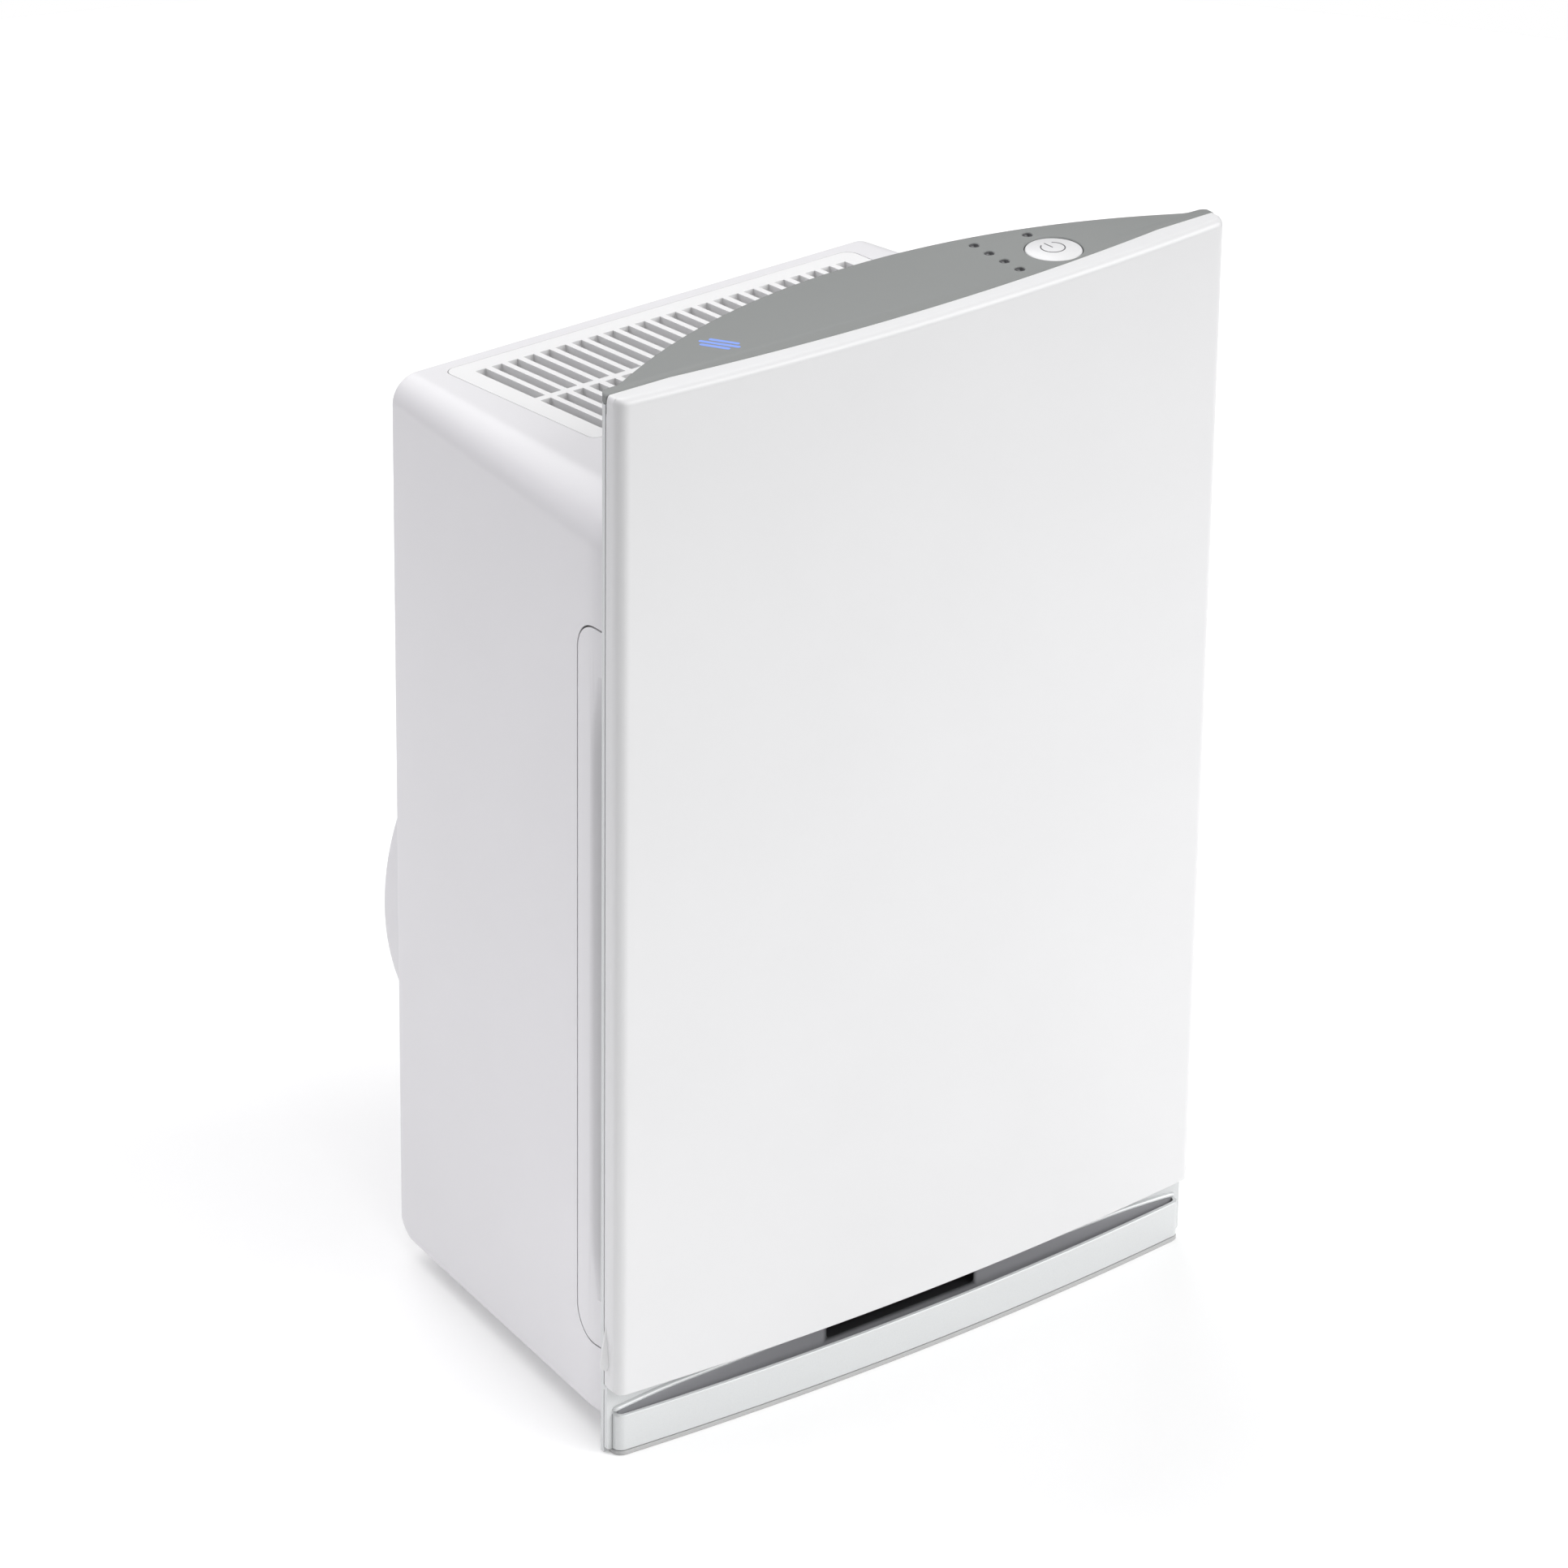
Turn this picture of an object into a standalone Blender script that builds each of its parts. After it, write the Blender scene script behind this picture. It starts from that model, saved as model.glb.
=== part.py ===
"""Slim upright room air cleaner: tapered case, bowed lift-off cover, lens-shaped control deck.

Every shape is placed in assembly coordinates: X to the right seen from the front, Y to the back
with y = 0 on the rear face of the front frame, Z up with z = 0 on the floor. The empty named
"assembly" carries them to the world, whose origin is the middle of the footprint on the floor.
"""

import math

import bmesh
import bpy
from mathutils import Vector

# Driving dimensions, in metres
WIDTH = 0.334  # front frame, side to side
DECK_TOP = 0.522  # floor to the top of the control deck
COVER_FRONT = -0.0192  # foremost line of the bowed cover
CASE_REAR = 0.201  # rear wall of the case
MOTOR_COVER_REAR = 0.2319  # rear face of the round motor cover

GAP = 0.0003  # between pieces that touch
WALL = 0.0030  # case wall
SKIN = 0.0025  # cover and deck wall

# Case: a tub that tapers towards the back on both sides, on top and a little underneath
CASE_FRONT_HALF = 0.1637
SIDE_TAPER = 0.135
CASE_TOP = 0.4640
TOP_FALL = 0.080
CASE_BOTTOM = 0.0133
BOTTOM_FALL = 0.024
TOP_RADIUS_FRONT = 0.024
TOP_RADIUS_REAR = 0.013
BOTTOM_RADIUS = 0.0030
REAR_HEEL_RADIUS = 0.012  # where the underside turns up into the rear wall
REAR_EDGE = 0.0012

# Front frame and base
FRAME_THICKNESS = 0.003
FRAME_TOP = 0.5175
PAD_HEIGHT = 0.0022
BASE_TOP = 0.0208
BASE_FRONT = -0.0155
BASE_HALF = 0.1640
BASE_BOW_RADIUS = 1.70
WINDOW_HALF = 0.134  # filter window in the frame
WINDOW_BOTTOM = 0.060
WINDOW_TOP = 0.440
WINDOW_CORNER = 0.006
BASE_INLET_HALF = 0.043
BASE_INLET = (0.0152, 0.0242)  # heights of the intake slot above the base bar

# Cover
COVER_BOTTOM = 0.0335
COVER_BOW_RADIUS = 1.62
COVER_CORNER = 0.006
COVER_TOP_FILLET = 0.0035
STUD_X = 0.150
STUD_HEIGHTS = (0.062, 0.415)
STUD_RADIUS = 0.003
# The finger tab's profile: (height, reach beyond the cover's side)
FINGER_TAB = (
    (0.0440, 0.0),
    (0.0462, 0.0016),
    (0.0500, 0.0030),
    (0.0560, 0.0028),
    (0.0625, 0.0012),
    (0.0665, 0.0),
)

# Control deck
DECK_THICKNESS = 0.004
DECK_FRONT = -0.0096
DECK_KINK_X = 0.134
DECK_KINK_Y = -0.0016
DECK_REAR = 0.046
DECK_REAR_RADIUS = 0.315
DECK_TIP_FRONT = -0.0011
DECK_TIP_RADIUS = 0.0047
DECK_TIP_EASE = 0.0012
BUTTON_CENTRE = (0.0834, 0.0084)
BUTTON_RADIUS = 0.0128
BUTTON_BOTTOM = 0.5120
BUTTON_TRAVEL = 0.0012
LED_RADIUS = 0.0021
LED_COLUMN_X = 0.0576
LED_FIRST_Y = 0.0320
LED_PITCH = 0.01065
POWER_LED = (0.0839, 0.0274)

# Outlet grille
GRILLE_HALF = 0.1143
GRILLE_FRONT = 0.0792
GRILLE_REAR = 0.1926
GRILLE_PLATE = 0.003
GRILLE_DEPTH = 0.012
SLOT_COUNT = 24
SLOT_PITCH = 0.0088
SLOT_WIDTH = 0.0056
SLOT_ROWS = ((0.0877, 0.1330), (0.1371, 0.1824))

# Side inlets
INLET_REAR = 0.0290
INLET_BOTTOM = 0.0480
INLET_TOP = 0.4050
INLET_CORNER = 0.0150
SCOOP_REAR = 0.0155
SCOOP_BOTTOM = 0.075
SCOOP_TOP = 0.380
SCOOP_DEPTH = 0.0052

# Fan
FAN_Z = 0.166
IMPELLER_RADIUS = 0.095
IMPELLER_EYE = 0.076
IMPELLER_FRONT = 0.086
IMPELLER_BACK = 0.162
BLADE_COUNT = 22
SHAFT_RADIUS = 0.004
BEARING_BORE = 0.00408
MOTOR_RADIUS = 0.044
MOTOR_FRONT = 0.166
MOTOR_REAR = 0.222
MOTOR_COVER_RADIUS = 0.123
MOTOR_COVER_EDGE = 0.0015
REAR_OPENING = 0.100
MOTOR_SCREW_CIRCLE = 0.107
BULKHEAD_FRONT = 0.066
BULKHEAD_REAR = 0.069

# Filters
FILTER_SLACK = 0.0008
FILTER_HALF = WINDOW_HALF - FILTER_SLACK
FILTER_BOTTOM = WINDOW_BOTTOM + FILTER_SLACK
FILTER_TOP = WINDOW_TOP - FILTER_SLACK
TRAY_WALL = 0.0020
PRE_FILTER = (0.0120, 0.0155)
PRE_MESH = (0.0158, 0.0166)
CARBON_FILTER = (0.0170, 0.0245)
HEPA_FILTER = (0.0255, 0.0620)

# Screws
SCREW_X = 0.146
SCREW_HEIGHTS = (0.044, 0.445)
SCREW_RADIUS = 0.0016
SCREW_HEAD = 0.0032

# Mains inlet, (x, z)
MAINS_CENTRE = (-0.112, 0.045)
MAINS_SIZE = (0.0224, 0.0144)

HALF = WIDTH / 2
WORLD_Y = -(COVER_FRONT + MOTOR_COVER_REAR) / 2


def clear_scene():
    for obj in list(bpy.data.objects):
        bpy.data.objects.remove(obj, do_unlink=True)


def make_material(name, colour, roughness, metallic=0.0):
    material = bpy.data.materials.new(name)
    material.use_nodes = True
    shader = material.node_tree.nodes["Principled BSDF"]
    shader.inputs["Base Color"].default_value = (*colour, 1.0)
    shader.inputs["Roughness"].default_value = roughness
    shader.inputs["Metallic"].default_value = metallic
    return material


clear_scene()
ASSEMBLY = bpy.data.objects.new("assembly", None)
bpy.context.scene.collection.objects.link(ASSEMBLY)
ASSEMBLY.location = (0.0, WORLD_Y, 0.0)

WHITE = make_material("white_gloss_plastic", (0.82, 0.82, 0.83), 0.30)
CASE_WHITE = make_material("white_satin_plastic", (0.74, 0.74, 0.77), 0.40)
SILVER = make_material("silver_plastic", (0.72, 0.74, 0.75), 0.38, 0.35)
DECK_GREY = make_material("deck_grey_plastic", (0.32, 0.33, 0.34), 0.60)
RUBBER = make_material("grey_rubber", (0.42, 0.42, 0.42), 0.85)
LENS = make_material("clear_lens", (0.30, 0.32, 0.33), 0.20)
DARK = make_material("dark_plastic", (0.05, 0.05, 0.055), 0.50)
CARBON = make_material("carbon_foam", (0.03, 0.03, 0.03), 0.95)
MEDIA = make_material("filter_paper", (0.80, 0.80, 0.76), 0.90)
MESH_GREY = make_material("filter_mesh", (0.20, 0.21, 0.22), 0.80)
STEEL = make_material("zinc_steel", (0.55, 0.56, 0.57), 0.35, 1.0)
MOTOR_STEEL = make_material("motor_steel", (0.40, 0.41, 0.42), 0.40, 1.0)
BOARD = make_material("circuit_board", (0.05, 0.22, 0.10), 0.45)
ALUMINIUM = make_material("capacitor_can", (0.62, 0.63, 0.64), 0.35, 1.0)


# Mesh helpers -----------------------------------------------------------------------------


def solid(name, points, faces, material, origin=(0.0, 0.0, 0.0)):
    """One closed mesh from points in assembly coordinates, its own origin at `origin`."""
    shift = Vector(origin)
    mesh = bpy.data.meshes.new(name)
    mesh.from_pydata([Vector(point) - shift for point in points], [], faces)
    work = bmesh.new()
    work.from_mesh(mesh)
    bmesh.ops.recalc_face_normals(work, faces=work.faces)
    work.to_mesh(mesh)
    work.free()
    mesh.materials.append(material)
    obj = bpy.data.objects.new(name, mesh)
    bpy.context.scene.collection.objects.link(obj)
    obj.parent = ASSEMBLY
    obj.location = shift
    return obj


def loft_faces(ring_count, size, first=0):
    """Sides and end caps through `ring_count` loops of `size` points each."""
    faces = []
    for ring in range(ring_count - 1):
        low = first + ring * size
        for i in range(size):
            j = (i + 1) % size
            faces.append((low + i, low + j, low + size + j, low + size + i))
    last = first + (ring_count - 1) * size
    faces.append(tuple(range(first, first + size)))
    faces.append(tuple(range(last, last + size)))
    return faces


def loft(name, loops, material, origin=(0.0, 0.0, 0.0)):
    points = [point for loop in loops for point in loop]
    return solid(name, points, loft_faces(len(loops), len(loops[0])), material, origin)


def lofts(name, groups, material):
    """Several separate lofts in one mesh, for use as one cutter."""
    points = []
    faces = []
    for loops in groups:
        faces += loft_faces(len(loops), len(loops[0]), len(points))
        points += [point for loop in loops for point in loop]
    return solid(name, points, faces, material)


def prism(name, outline, axis, low, high, material):
    """An outline of (a, b) pairs pushed along `axis` from low to high."""
    place = {
        "X": lambda a, b, c: (c, a, b),
        "Y": lambda a, b, c: (a, c, b),
        "Z": lambda a, b, c: (a, b, c),
    }[axis]
    loops = [[place(a, b, level) for a, b in outline] for level in (low, high)]
    return loft(name, loops, material)


def rectangle(a0, a1, b0, b1):
    return [(a0, b0), (a1, b0), (a1, b1), (a0, b1)]


def box(name, x, y, z, material):
    return prism(name, rectangle(x[0], x[1], y[0], y[1]), "Z", z[0], z[1], material)


def circle(centre, radius, steps):
    angles = [2 * math.pi * i / steps for i in range(steps)]
    return [(centre[0] + radius * math.cos(a), centre[1] + radius * math.sin(a)) for a in angles]


def corner(centre, radius, start_degrees, steps):
    """A quarter circle, anticlockwise from start_degrees."""
    angles = [math.radians(start_degrees + 90 * i / steps) for i in range(steps + 1)]
    return [(centre[0] + radius * math.cos(a), centre[1] + radius * math.sin(a)) for a in angles]


def rounded(a0, a1, b0, b1, low_radius, high_radius, steps=6):
    """A rectangle with one radius at its two low corners and another at its two high ones."""
    return (
        corner((a0 + low_radius, b0 + low_radius), low_radius, 180, steps)
        + corner((a1 - low_radius, b0 + low_radius), low_radius, 270, steps)
        + corner((a1 - high_radius, b1 - high_radius), high_radius, 0, steps)
        + corner((a0 + high_radius, b1 - high_radius), high_radius, 90, steps)
    )


def turned(name, profile, material, steps=32, centre=(0.0, FAN_Z), origin=None):
    """A ring: a closed profile of (radius, y) turned about the fan's axis, or a parallel one."""
    points = []
    faces = []
    size = len(profile)
    for k in range(steps):
        angle = 2 * math.pi * k / steps
        for radius, y in profile:
            points.append((centre[0] + radius * math.cos(angle), y, centre[1] + radius * math.sin(angle)))
    for k in range(steps):
        here = k * size
        there = ((k + 1) % steps) * size
        for i in range(size):
            j = (i + 1) % size
            faces.append((here + i, here + j, there + j, there + i))
    return solid(name, points, faces, material, origin or (centre[0], profile[0][1], centre[1]))


def turned_solid(name, profile, material, steps=24, centre=(0.0, FAN_Z)):
    """A full body: circles of the profile's (radius, y) stacked along Y, ends closed."""
    loops = [[(a, y, b) for a, b in circle(centre, radius, steps)] for radius, y in profile]
    return loft(name, loops, material, (centre[0], profile[0][1], centre[1]))


def boolean(target, other, operation):
    modifier = target.modifiers.new(f"{operation.lower()}_{other.name}", "BOOLEAN")
    modifier.object = other
    modifier.operation = operation
    modifier.solver = "EXACT"
    other.hide_render = True
    other.display_type = "WIRE"


def cut(target, *cutters):
    for cutter in cutters:
        boolean(target, cutter, "DIFFERENCE")


def fuse(target, *others):
    for other in others:
        boolean(target, other, "UNION")


def smooth(obj, degrees=35):
    obj.data.shade_smooth()
    obj.data.set_sharp_from_angle(angle=math.radians(degrees))


# Shared outlines --------------------------------------------------------------------------


def case_half(y):
    return CASE_FRONT_HALF - SIDE_TAPER * y


def case_top(y):
    return CASE_TOP - TOP_FALL * y


def case_low(y):
    """Height of the underside, which turns up in a quarter round at the rear wall."""
    into_heel = max(y - (CASE_REAR - REAR_HEEL_RADIUS), 0.0)
    rise = REAR_HEEL_RADIUS - math.sqrt(max(REAR_HEEL_RADIUS**2 - into_heel**2, 0.0))
    return CASE_BOTTOM - BOTTOM_FALL * y + rise


def case_section(y, inset=0.0):
    """The case's outline at depth y, drawn in by `inset`."""
    half = case_half(y) - inset
    share = y / CASE_REAR
    top_radius = TOP_RADIUS_FRONT + (TOP_RADIUS_REAR - TOP_RADIUS_FRONT) * share - inset
    low_radius = max(BOTTOM_RADIUS - inset, 0.0006)
    outline = rounded(-half, half, case_low(y) + inset, case_top(y) - inset, low_radius, top_radius, 7)
    return [(x, y, z) for x, z in outline]


def bowed_outline(front, bow_radius, half, rear, corner_radius, steps=20):
    """A plan outline with a straight back, a bowed front and rounded front corners."""
    reach = half - corner_radius

    def bow(x):
        return front + x * x / (2 * bow_radius)

    end = bow(reach)
    points = [(half, rear), (-half, rear)]
    for i in range(5):
        a = math.radians(180 + 18 * i)
        points.append((-reach + corner_radius * math.cos(a), end + corner_radius * (1 + math.sin(a))))
    for i in range(steps + 1):
        x = -reach + 2 * reach * i / steps
        points.append((x, bow(x)))
    for i in range(1, 6):
        a = math.radians(270 + 18 * i)
        points.append((reach + corner_radius * math.cos(a), end + corner_radius * (1 + math.sin(a))))
    return points


def deck_front(x):
    share = (abs(x) - DECK_KINK_X) / (HALF - DECK_KINK_X)
    if share >= 0:
        return DECK_KINK_Y + (DECK_TIP_FRONT - DECK_KINK_Y) * min(share, 1.0)
    return DECK_FRONT + (DECK_KINK_Y - DECK_FRONT) * (x / DECK_KINK_X) ** 2


def deck_rear(x):
    """A long arc that eases into a narrow strip over the frame, with a round end."""
    arc = DECK_REAR - DECK_REAR_RADIUS + math.sqrt(DECK_REAR_RADIUS**2 - x**2)
    above = arc - DECK_TIP_RADIUS
    strip = DECK_TIP_RADIUS + (above + math.sqrt(above**2 + DECK_TIP_EASE**2)) / 2
    into_end = max(abs(x) - (HALF - DECK_TIP_RADIUS), 0.0)
    drop = DECK_TIP_RADIUS - math.sqrt(max(DECK_TIP_RADIUS**2 - into_end**2, 0.0))
    return strip - drop


def deck_outline(front_grow=0.0, rear_grow=0.0, half=HALF, front_steps=24, rear_steps=32):
    front = []
    for i in range(front_steps + 1):
        x = -half + 2 * half * i / front_steps
        front.append((x, deck_front(x) - front_grow))
    rear = []
    for i in range(rear_steps + 1):
        x = half * math.cos(math.pi * i / rear_steps)
        rear.append((x, deck_rear(x) + rear_grow))
    return front + rear


def hood_outline(inset):
    """The deck's outline behind the frame only, drawn in by `inset`."""
    half = 0.1600 - 2.2 * inset
    points = [(-half, GAP + inset), (half, GAP + inset)]
    steps = 30
    for i in range(steps + 1):
        x = half * math.cos(math.pi * i / steps)
        points.append((x, deck_rear(x) + 0.0006 - inset))
    return points


def grille_outline(grow=0.0):
    return rounded(
        -GRILLE_HALF - grow,
        GRILLE_HALF + grow,
        GRILLE_FRONT - grow,
        GRILLE_REAR + grow,
        0.0040 + grow,
        0.0060 + grow,
        4,
    )


def mains_outline(grow=0.0):
    """The (x, z) outline of the mains inlet in the case's rear wall."""
    half_width = MAINS_SIZE[0] / 2 + grow
    half_height = MAINS_SIZE[1] / 2 + grow
    x, z = MAINS_CENTRE
    return rounded(x - half_width, x + half_width, z - half_height, z + half_height, 0.003, 0.003, 3)


# Case, frame and base ---------------------------------------------------------------------


def side_inlet_outline(grow=0.0):
    """The (y, z) outline of a side inlet panel: square at the front, round at the back."""
    radius = INLET_CORNER + grow
    rear = INLET_REAR + grow
    top = INLET_TOP + grow
    bottom = INLET_BOTTOM - grow
    front = GAP - 3 * grow
    return (
        [(front, bottom)]
        + corner((rear - radius, bottom + radius), radius, 270, 6)
        + corner((rear - radius, top - radius), radius, 0, 6)
        + [(front, top)]
    )


def side_loop(outline, side, depth):
    """(y, z) points laid on a side wall of the case, `depth` below its surface."""
    return [(side * (case_half(y) - depth), y, z) for y, z in outline]


def boss(side, z):
    inner = SCREW_X - 0.005
    outer = case_half(0.024) - 0.001
    x = sorted((side * inner, side * outer))
    return box("boss_blank", x, (GAP + 0.0002, 0.024), (z - 0.005, z + 0.005), CASE_WHITE)


def make_rear_case():
    heel = [case_section(CASE_REAR - REAR_HEEL_RADIUS * share) for share in (1.0, 0.62, 0.33, 0.13)]
    edge = [case_section(CASE_REAR - 0.0004, 0.0004), case_section(CASE_REAR, REAR_EDGE)]
    case = loft("rear_case", [case_section(GAP)] + heel + edge, CASE_WHITE)
    inner_rear = CASE_REAR - WALL
    inner = [case_section(-0.002, WALL)]
    inner += [case_section(inner_rear - REAR_HEEL_RADIUS * share, WALL) for share in (0.75, 0.35, 0.0)]
    cut(case, loft("case_hollow", inner, CASE_WHITE))
    for side in (-1, 1):
        for z in SCREW_HEIGHTS:
            fuse(case, boss(side, z))
    for side in (-1, 1):
        for z in SCREW_HEIGHTS:
            hole = circle((side * SCREW_X, z), SCREW_RADIUS + GAP, 12)
            cut(case, prism("boss_hole", hole, "Y", -0.001, 0.020, STEEL))
    for side in (-1, 1):
        outline = side_inlet_outline(0.0004)
        loops = [side_loop(outline, side, -0.002), side_loop(outline, side, WALL + 0.002)]
        cut(case, loft("inlet_notch", loops, CASE_WHITE))
    opening = grille_outline(0.0004)
    cut(case, prism("grille_opening", opening, "Z", 0.430, 0.480, CASE_WHITE))
    cut(case, prism("fan_opening", circle((0.0, FAN_Z), REAR_OPENING, 40), "Y", 0.190, 0.210, CASE_WHITE))
    for angle in (45, 135, 225, 315):
        hole = circle(screw_place(angle), SCREW_RADIUS + GAP, 12)
        cut(case, prism("motor_screw_hole", hole, "Y", 0.190, 0.210, STEEL))
    cut(case, prism("mains_opening", mains_outline(GAP), "Y", 0.190, 0.210, DARK))
    smooth(case, 30)


def make_front_frame():
    outline = rounded(-HALF, HALF, PAD_HEIGHT + GAP, FRAME_TOP, 0.0015, 0.0015, 2)
    frame = prism("front_frame", outline, "Y", -FRAME_THICKNESS, 0.0, SILVER)
    window = rounded(
        -WINDOW_HALF, WINDOW_HALF, WINDOW_BOTTOM, WINDOW_TOP, WINDOW_CORNER, WINDOW_CORNER, 3
    )
    cut(frame, prism("filter_window", window, "Y", -0.02, 0.02, SILVER))
    bead = [(-0.0025, 0.0244), (-0.0048, 0.0248), (-0.0054, 0.0262), (-0.0048, 0.0275), (-0.0025, 0.0280)]
    fuse(frame, prism("lip_bead", bead, "X", -0.1648, 0.1648, SILVER))
    inlet = rounded(-BASE_INLET_HALF, BASE_INLET_HALF, BASE_INLET[0], BASE_INLET[1], 0.002, 0.002, 3)
    cut(frame, prism("base_inlet", inlet, "Y", -0.02, 0.02, SILVER))
    notch = circle(BUTTON_CENTRE, BUTTON_RADIUS + 0.0006, 40)
    cut(frame, prism("button_notch", notch, "Z", 0.5095, 0.530, SILVER))
    for side in (-1, 1):
        for z in STUD_HEIGHTS:
            hole = circle((side * STUD_X, z), STUD_RADIUS + 0.0004, 16)
            cut(frame, prism("stud_hole", hole, "Y", -0.02, 0.02, SILVER))
        for z in SCREW_HEIGHTS:
            hole = circle((side * SCREW_X, z), SCREW_RADIUS + GAP, 12)
            cut(frame, prism("frame_screw_hole", hole, "Y", -0.02, 0.02, SILVER))


def make_base():
    rear = -FRAME_THICKNESS - GAP
    outline = bowed_outline(BASE_FRONT, BASE_BOW_RADIUS, BASE_HALF, rear, 0.0044)
    base = prism("base_bar", outline, "Z", PAD_HEIGHT + GAP, BASE_TOP, SILVER)
    wall = 0.0018
    pocket = bowed_outline(BASE_FRONT + wall, BASE_BOW_RADIUS, BASE_HALF - wall, 0.0, 0.0028)
    cut(base, prism("base_pocket", pocket, "Z", 0.0055, 0.030, SILVER))
    smooth(base, 30)
    pad = bowed_outline(BASE_FRONT - 0.0005, BASE_BOW_RADIUS, HALF - 0.0008, -0.0005, 0.007)
    smooth(prism("foot_strip", pad, "Z", 0.0, PAD_HEIGHT, RUBBER), 30)


def make_rear_feet():
    for name, x in (("rear_foot_left", -0.105), ("rear_foot_right", 0.105)):
        y = 0.165
        top = CASE_BOTTOM - BOTTOM_FALL * (y + 0.009) - GAP
        loops = [
            [(a, b, z) for a, b in circle((x, y), radius, 20)]
            for radius, z in ((0.0078, 0.0), (0.0088, 0.0015), (0.0090, top))
        ]
        smooth(loft(name, loops, RUBBER, (x, y, 0.0)), 40)


def make_side_inlets():
    for name, side in (("side_inlet_left", -1), ("side_inlet_right", 1)):
        outline = side_inlet_outline()
        panel = loft(name, [side_loop(outline, side, 0.0), side_loop(outline, side, WALL)], CASE_WHITE)
        mid_z = (SCOOP_BOTTOM + SCOOP_TOP) / 2
        loops = []
        for z, share in (
            (SCOOP_BOTTOM, 0.15),
            (SCOOP_BOTTOM + 0.012, 0.70),
            (SCOOP_BOTTOM + 0.030, 1.0),
            (mid_z, 1.0),
            (SCOOP_TOP - 0.030, 1.0),
            (SCOOP_TOP - 0.012, 0.70),
            (SCOOP_TOP, 0.15),
        ):
            rear = SCOOP_REAR * (0.55 + 0.45 * share)
            depth = SCOOP_DEPTH * share
            front = 0.0022
            profile = [(front, depth), (0.0052, depth), (rear, 0.0), (rear, -0.003), (front, -0.003)]
            loops.append([(side * (case_half(y) - d), y, z) for y, d in profile])
        cut(panel, loft("scoop", loops, CASE_WHITE))
        smooth(panel, 30)


def make_outlet_grille():
    def sheared(outline, depth):
        return [(x, y, case_top(y) - depth) for x, y in outline]

    plate = grille_outline()
    grille = loft("outlet_grille", [sheared(plate, GRILLE_PLATE), sheared(plate, 0.0)], CASE_WHITE)
    reach = SLOT_PITCH * (SLOT_COUNT - 1) / 2 + SLOT_WIDTH / 2 + 0.0026
    block = rectangle(-reach, reach, SLOT_ROWS[0][0] - 0.0026, SLOT_ROWS[1][1] + 0.0026)
    fuse(grille, loft("slat_block", [sheared(block, GRILLE_DEPTH), sheared(block, 0.001)], CASE_WHITE))
    slots = []
    for y0, y1 in SLOT_ROWS:
        for i in range(SLOT_COUNT):
            x = SLOT_PITCH * (i - (SLOT_COUNT - 1) / 2)
            slot = rectangle(x - SLOT_WIDTH / 2, x + SLOT_WIDTH / 2, y0, y1)
            slots.append([sheared(slot, GRILLE_DEPTH + 0.004), sheared(slot, -0.004)])
    cut(grille, lofts("slots", slots, CASE_WHITE))


# Cover ------------------------------------------------------------------------------------


def cover_loop(z, inset):
    outline = bowed_outline(
        COVER_FRONT + inset,
        COVER_BOW_RADIUS,
        HALF - inset,
        -FRAME_THICKNESS - GAP,
        COVER_CORNER - 0.5 * inset,
    )
    return [(x, y, z) for x, y in outline]


def fillet_steps():
    """(height, inset) pairs round the cover's top fillet."""
    fillet = COVER_TOP_FILLET
    angles = [math.radians(22.5 * i) for i in range(5)]
    return [(DECK_TOP - fillet + fillet * math.sin(a), fillet * (1 - math.cos(a))) for a in angles]


def land_loops(side):
    """The end of the cover's top land, which reaches back over the frame to the deck's edge."""
    loops = []
    for z, inset in [(FRAME_TOP + GAP, 0.0)] + fillet_steps()[1:]:
        end = HALF - inset
        back = [(0.120 + (end - 0.120) * i / 6) for i in range(7)]
        outline = [(x, max(deck_front(x), -0.0034)) for x in back] + [(end, -0.0060), (0.120, -0.0060)]
        loops.append([(side * x, y, z) for x, y in outline])
    return loops


def make_front_cover():
    loops = [cover_loop(COVER_BOTTOM, 0.0008), cover_loop(COVER_BOTTOM + 0.0008, 0.0)]
    loops += [cover_loop(z, inset) for z, inset in fillet_steps()]
    cover = loft("front_cover", loops, WHITE)
    for side in (-1, 1):
        fuse(cover, loft("cover_land", land_loops(side), WHITE))
    inner = bowed_outline(COVER_FRONT + SKIN, COVER_BOW_RADIUS, HALF - SKIN, 0.002, COVER_CORNER - 0.002)
    cut(cover, prism("cover_hollow", inner, "Z", COVER_BOTTOM + SKIN, FRAME_TOP - 0.001, WHITE))
    deck_room = deck_outline(GAP, 0.0, HALF + 0.002)
    cut(cover, prism("deck_room", deck_room, "Z", FRAME_TOP - 0.004, 0.530, WHITE))
    for side in (-1, 1):
        for z in STUD_HEIGHTS:
            root = COVER_FRONT + STUD_X**2 / (2 * COVER_BOW_RADIUS) + 0.001
            loop = circle((side * STUD_X, z), STUD_RADIUS, 12)
            fuse(cover, prism("stud", loop, "Y", root, 0.006, WHITE))
        loops = []
        for y, share in ((-0.0105, 0.25), (-0.0080, 0.85), (-0.0050, 1.0), (-FRAME_THICKNESS - GAP, 1.0)):
            front = [(side * (HALF + share * reach), y, z) for z, reach in FINGER_TAB]
            back = [(side * (HALF - 0.0012), y, z) for z, reach in reversed(FINGER_TAB)]
            loops.append(front + back)
        fuse(cover, loft("finger_tab", loops, WHITE))
    smooth(cover, 30)


# Control deck -----------------------------------------------------------------------------


def led_places():
    column = [(LED_COLUMN_X, LED_FIRST_Y - i * LED_PITCH) for i in range(4)]
    return column + [POWER_LED]


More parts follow.
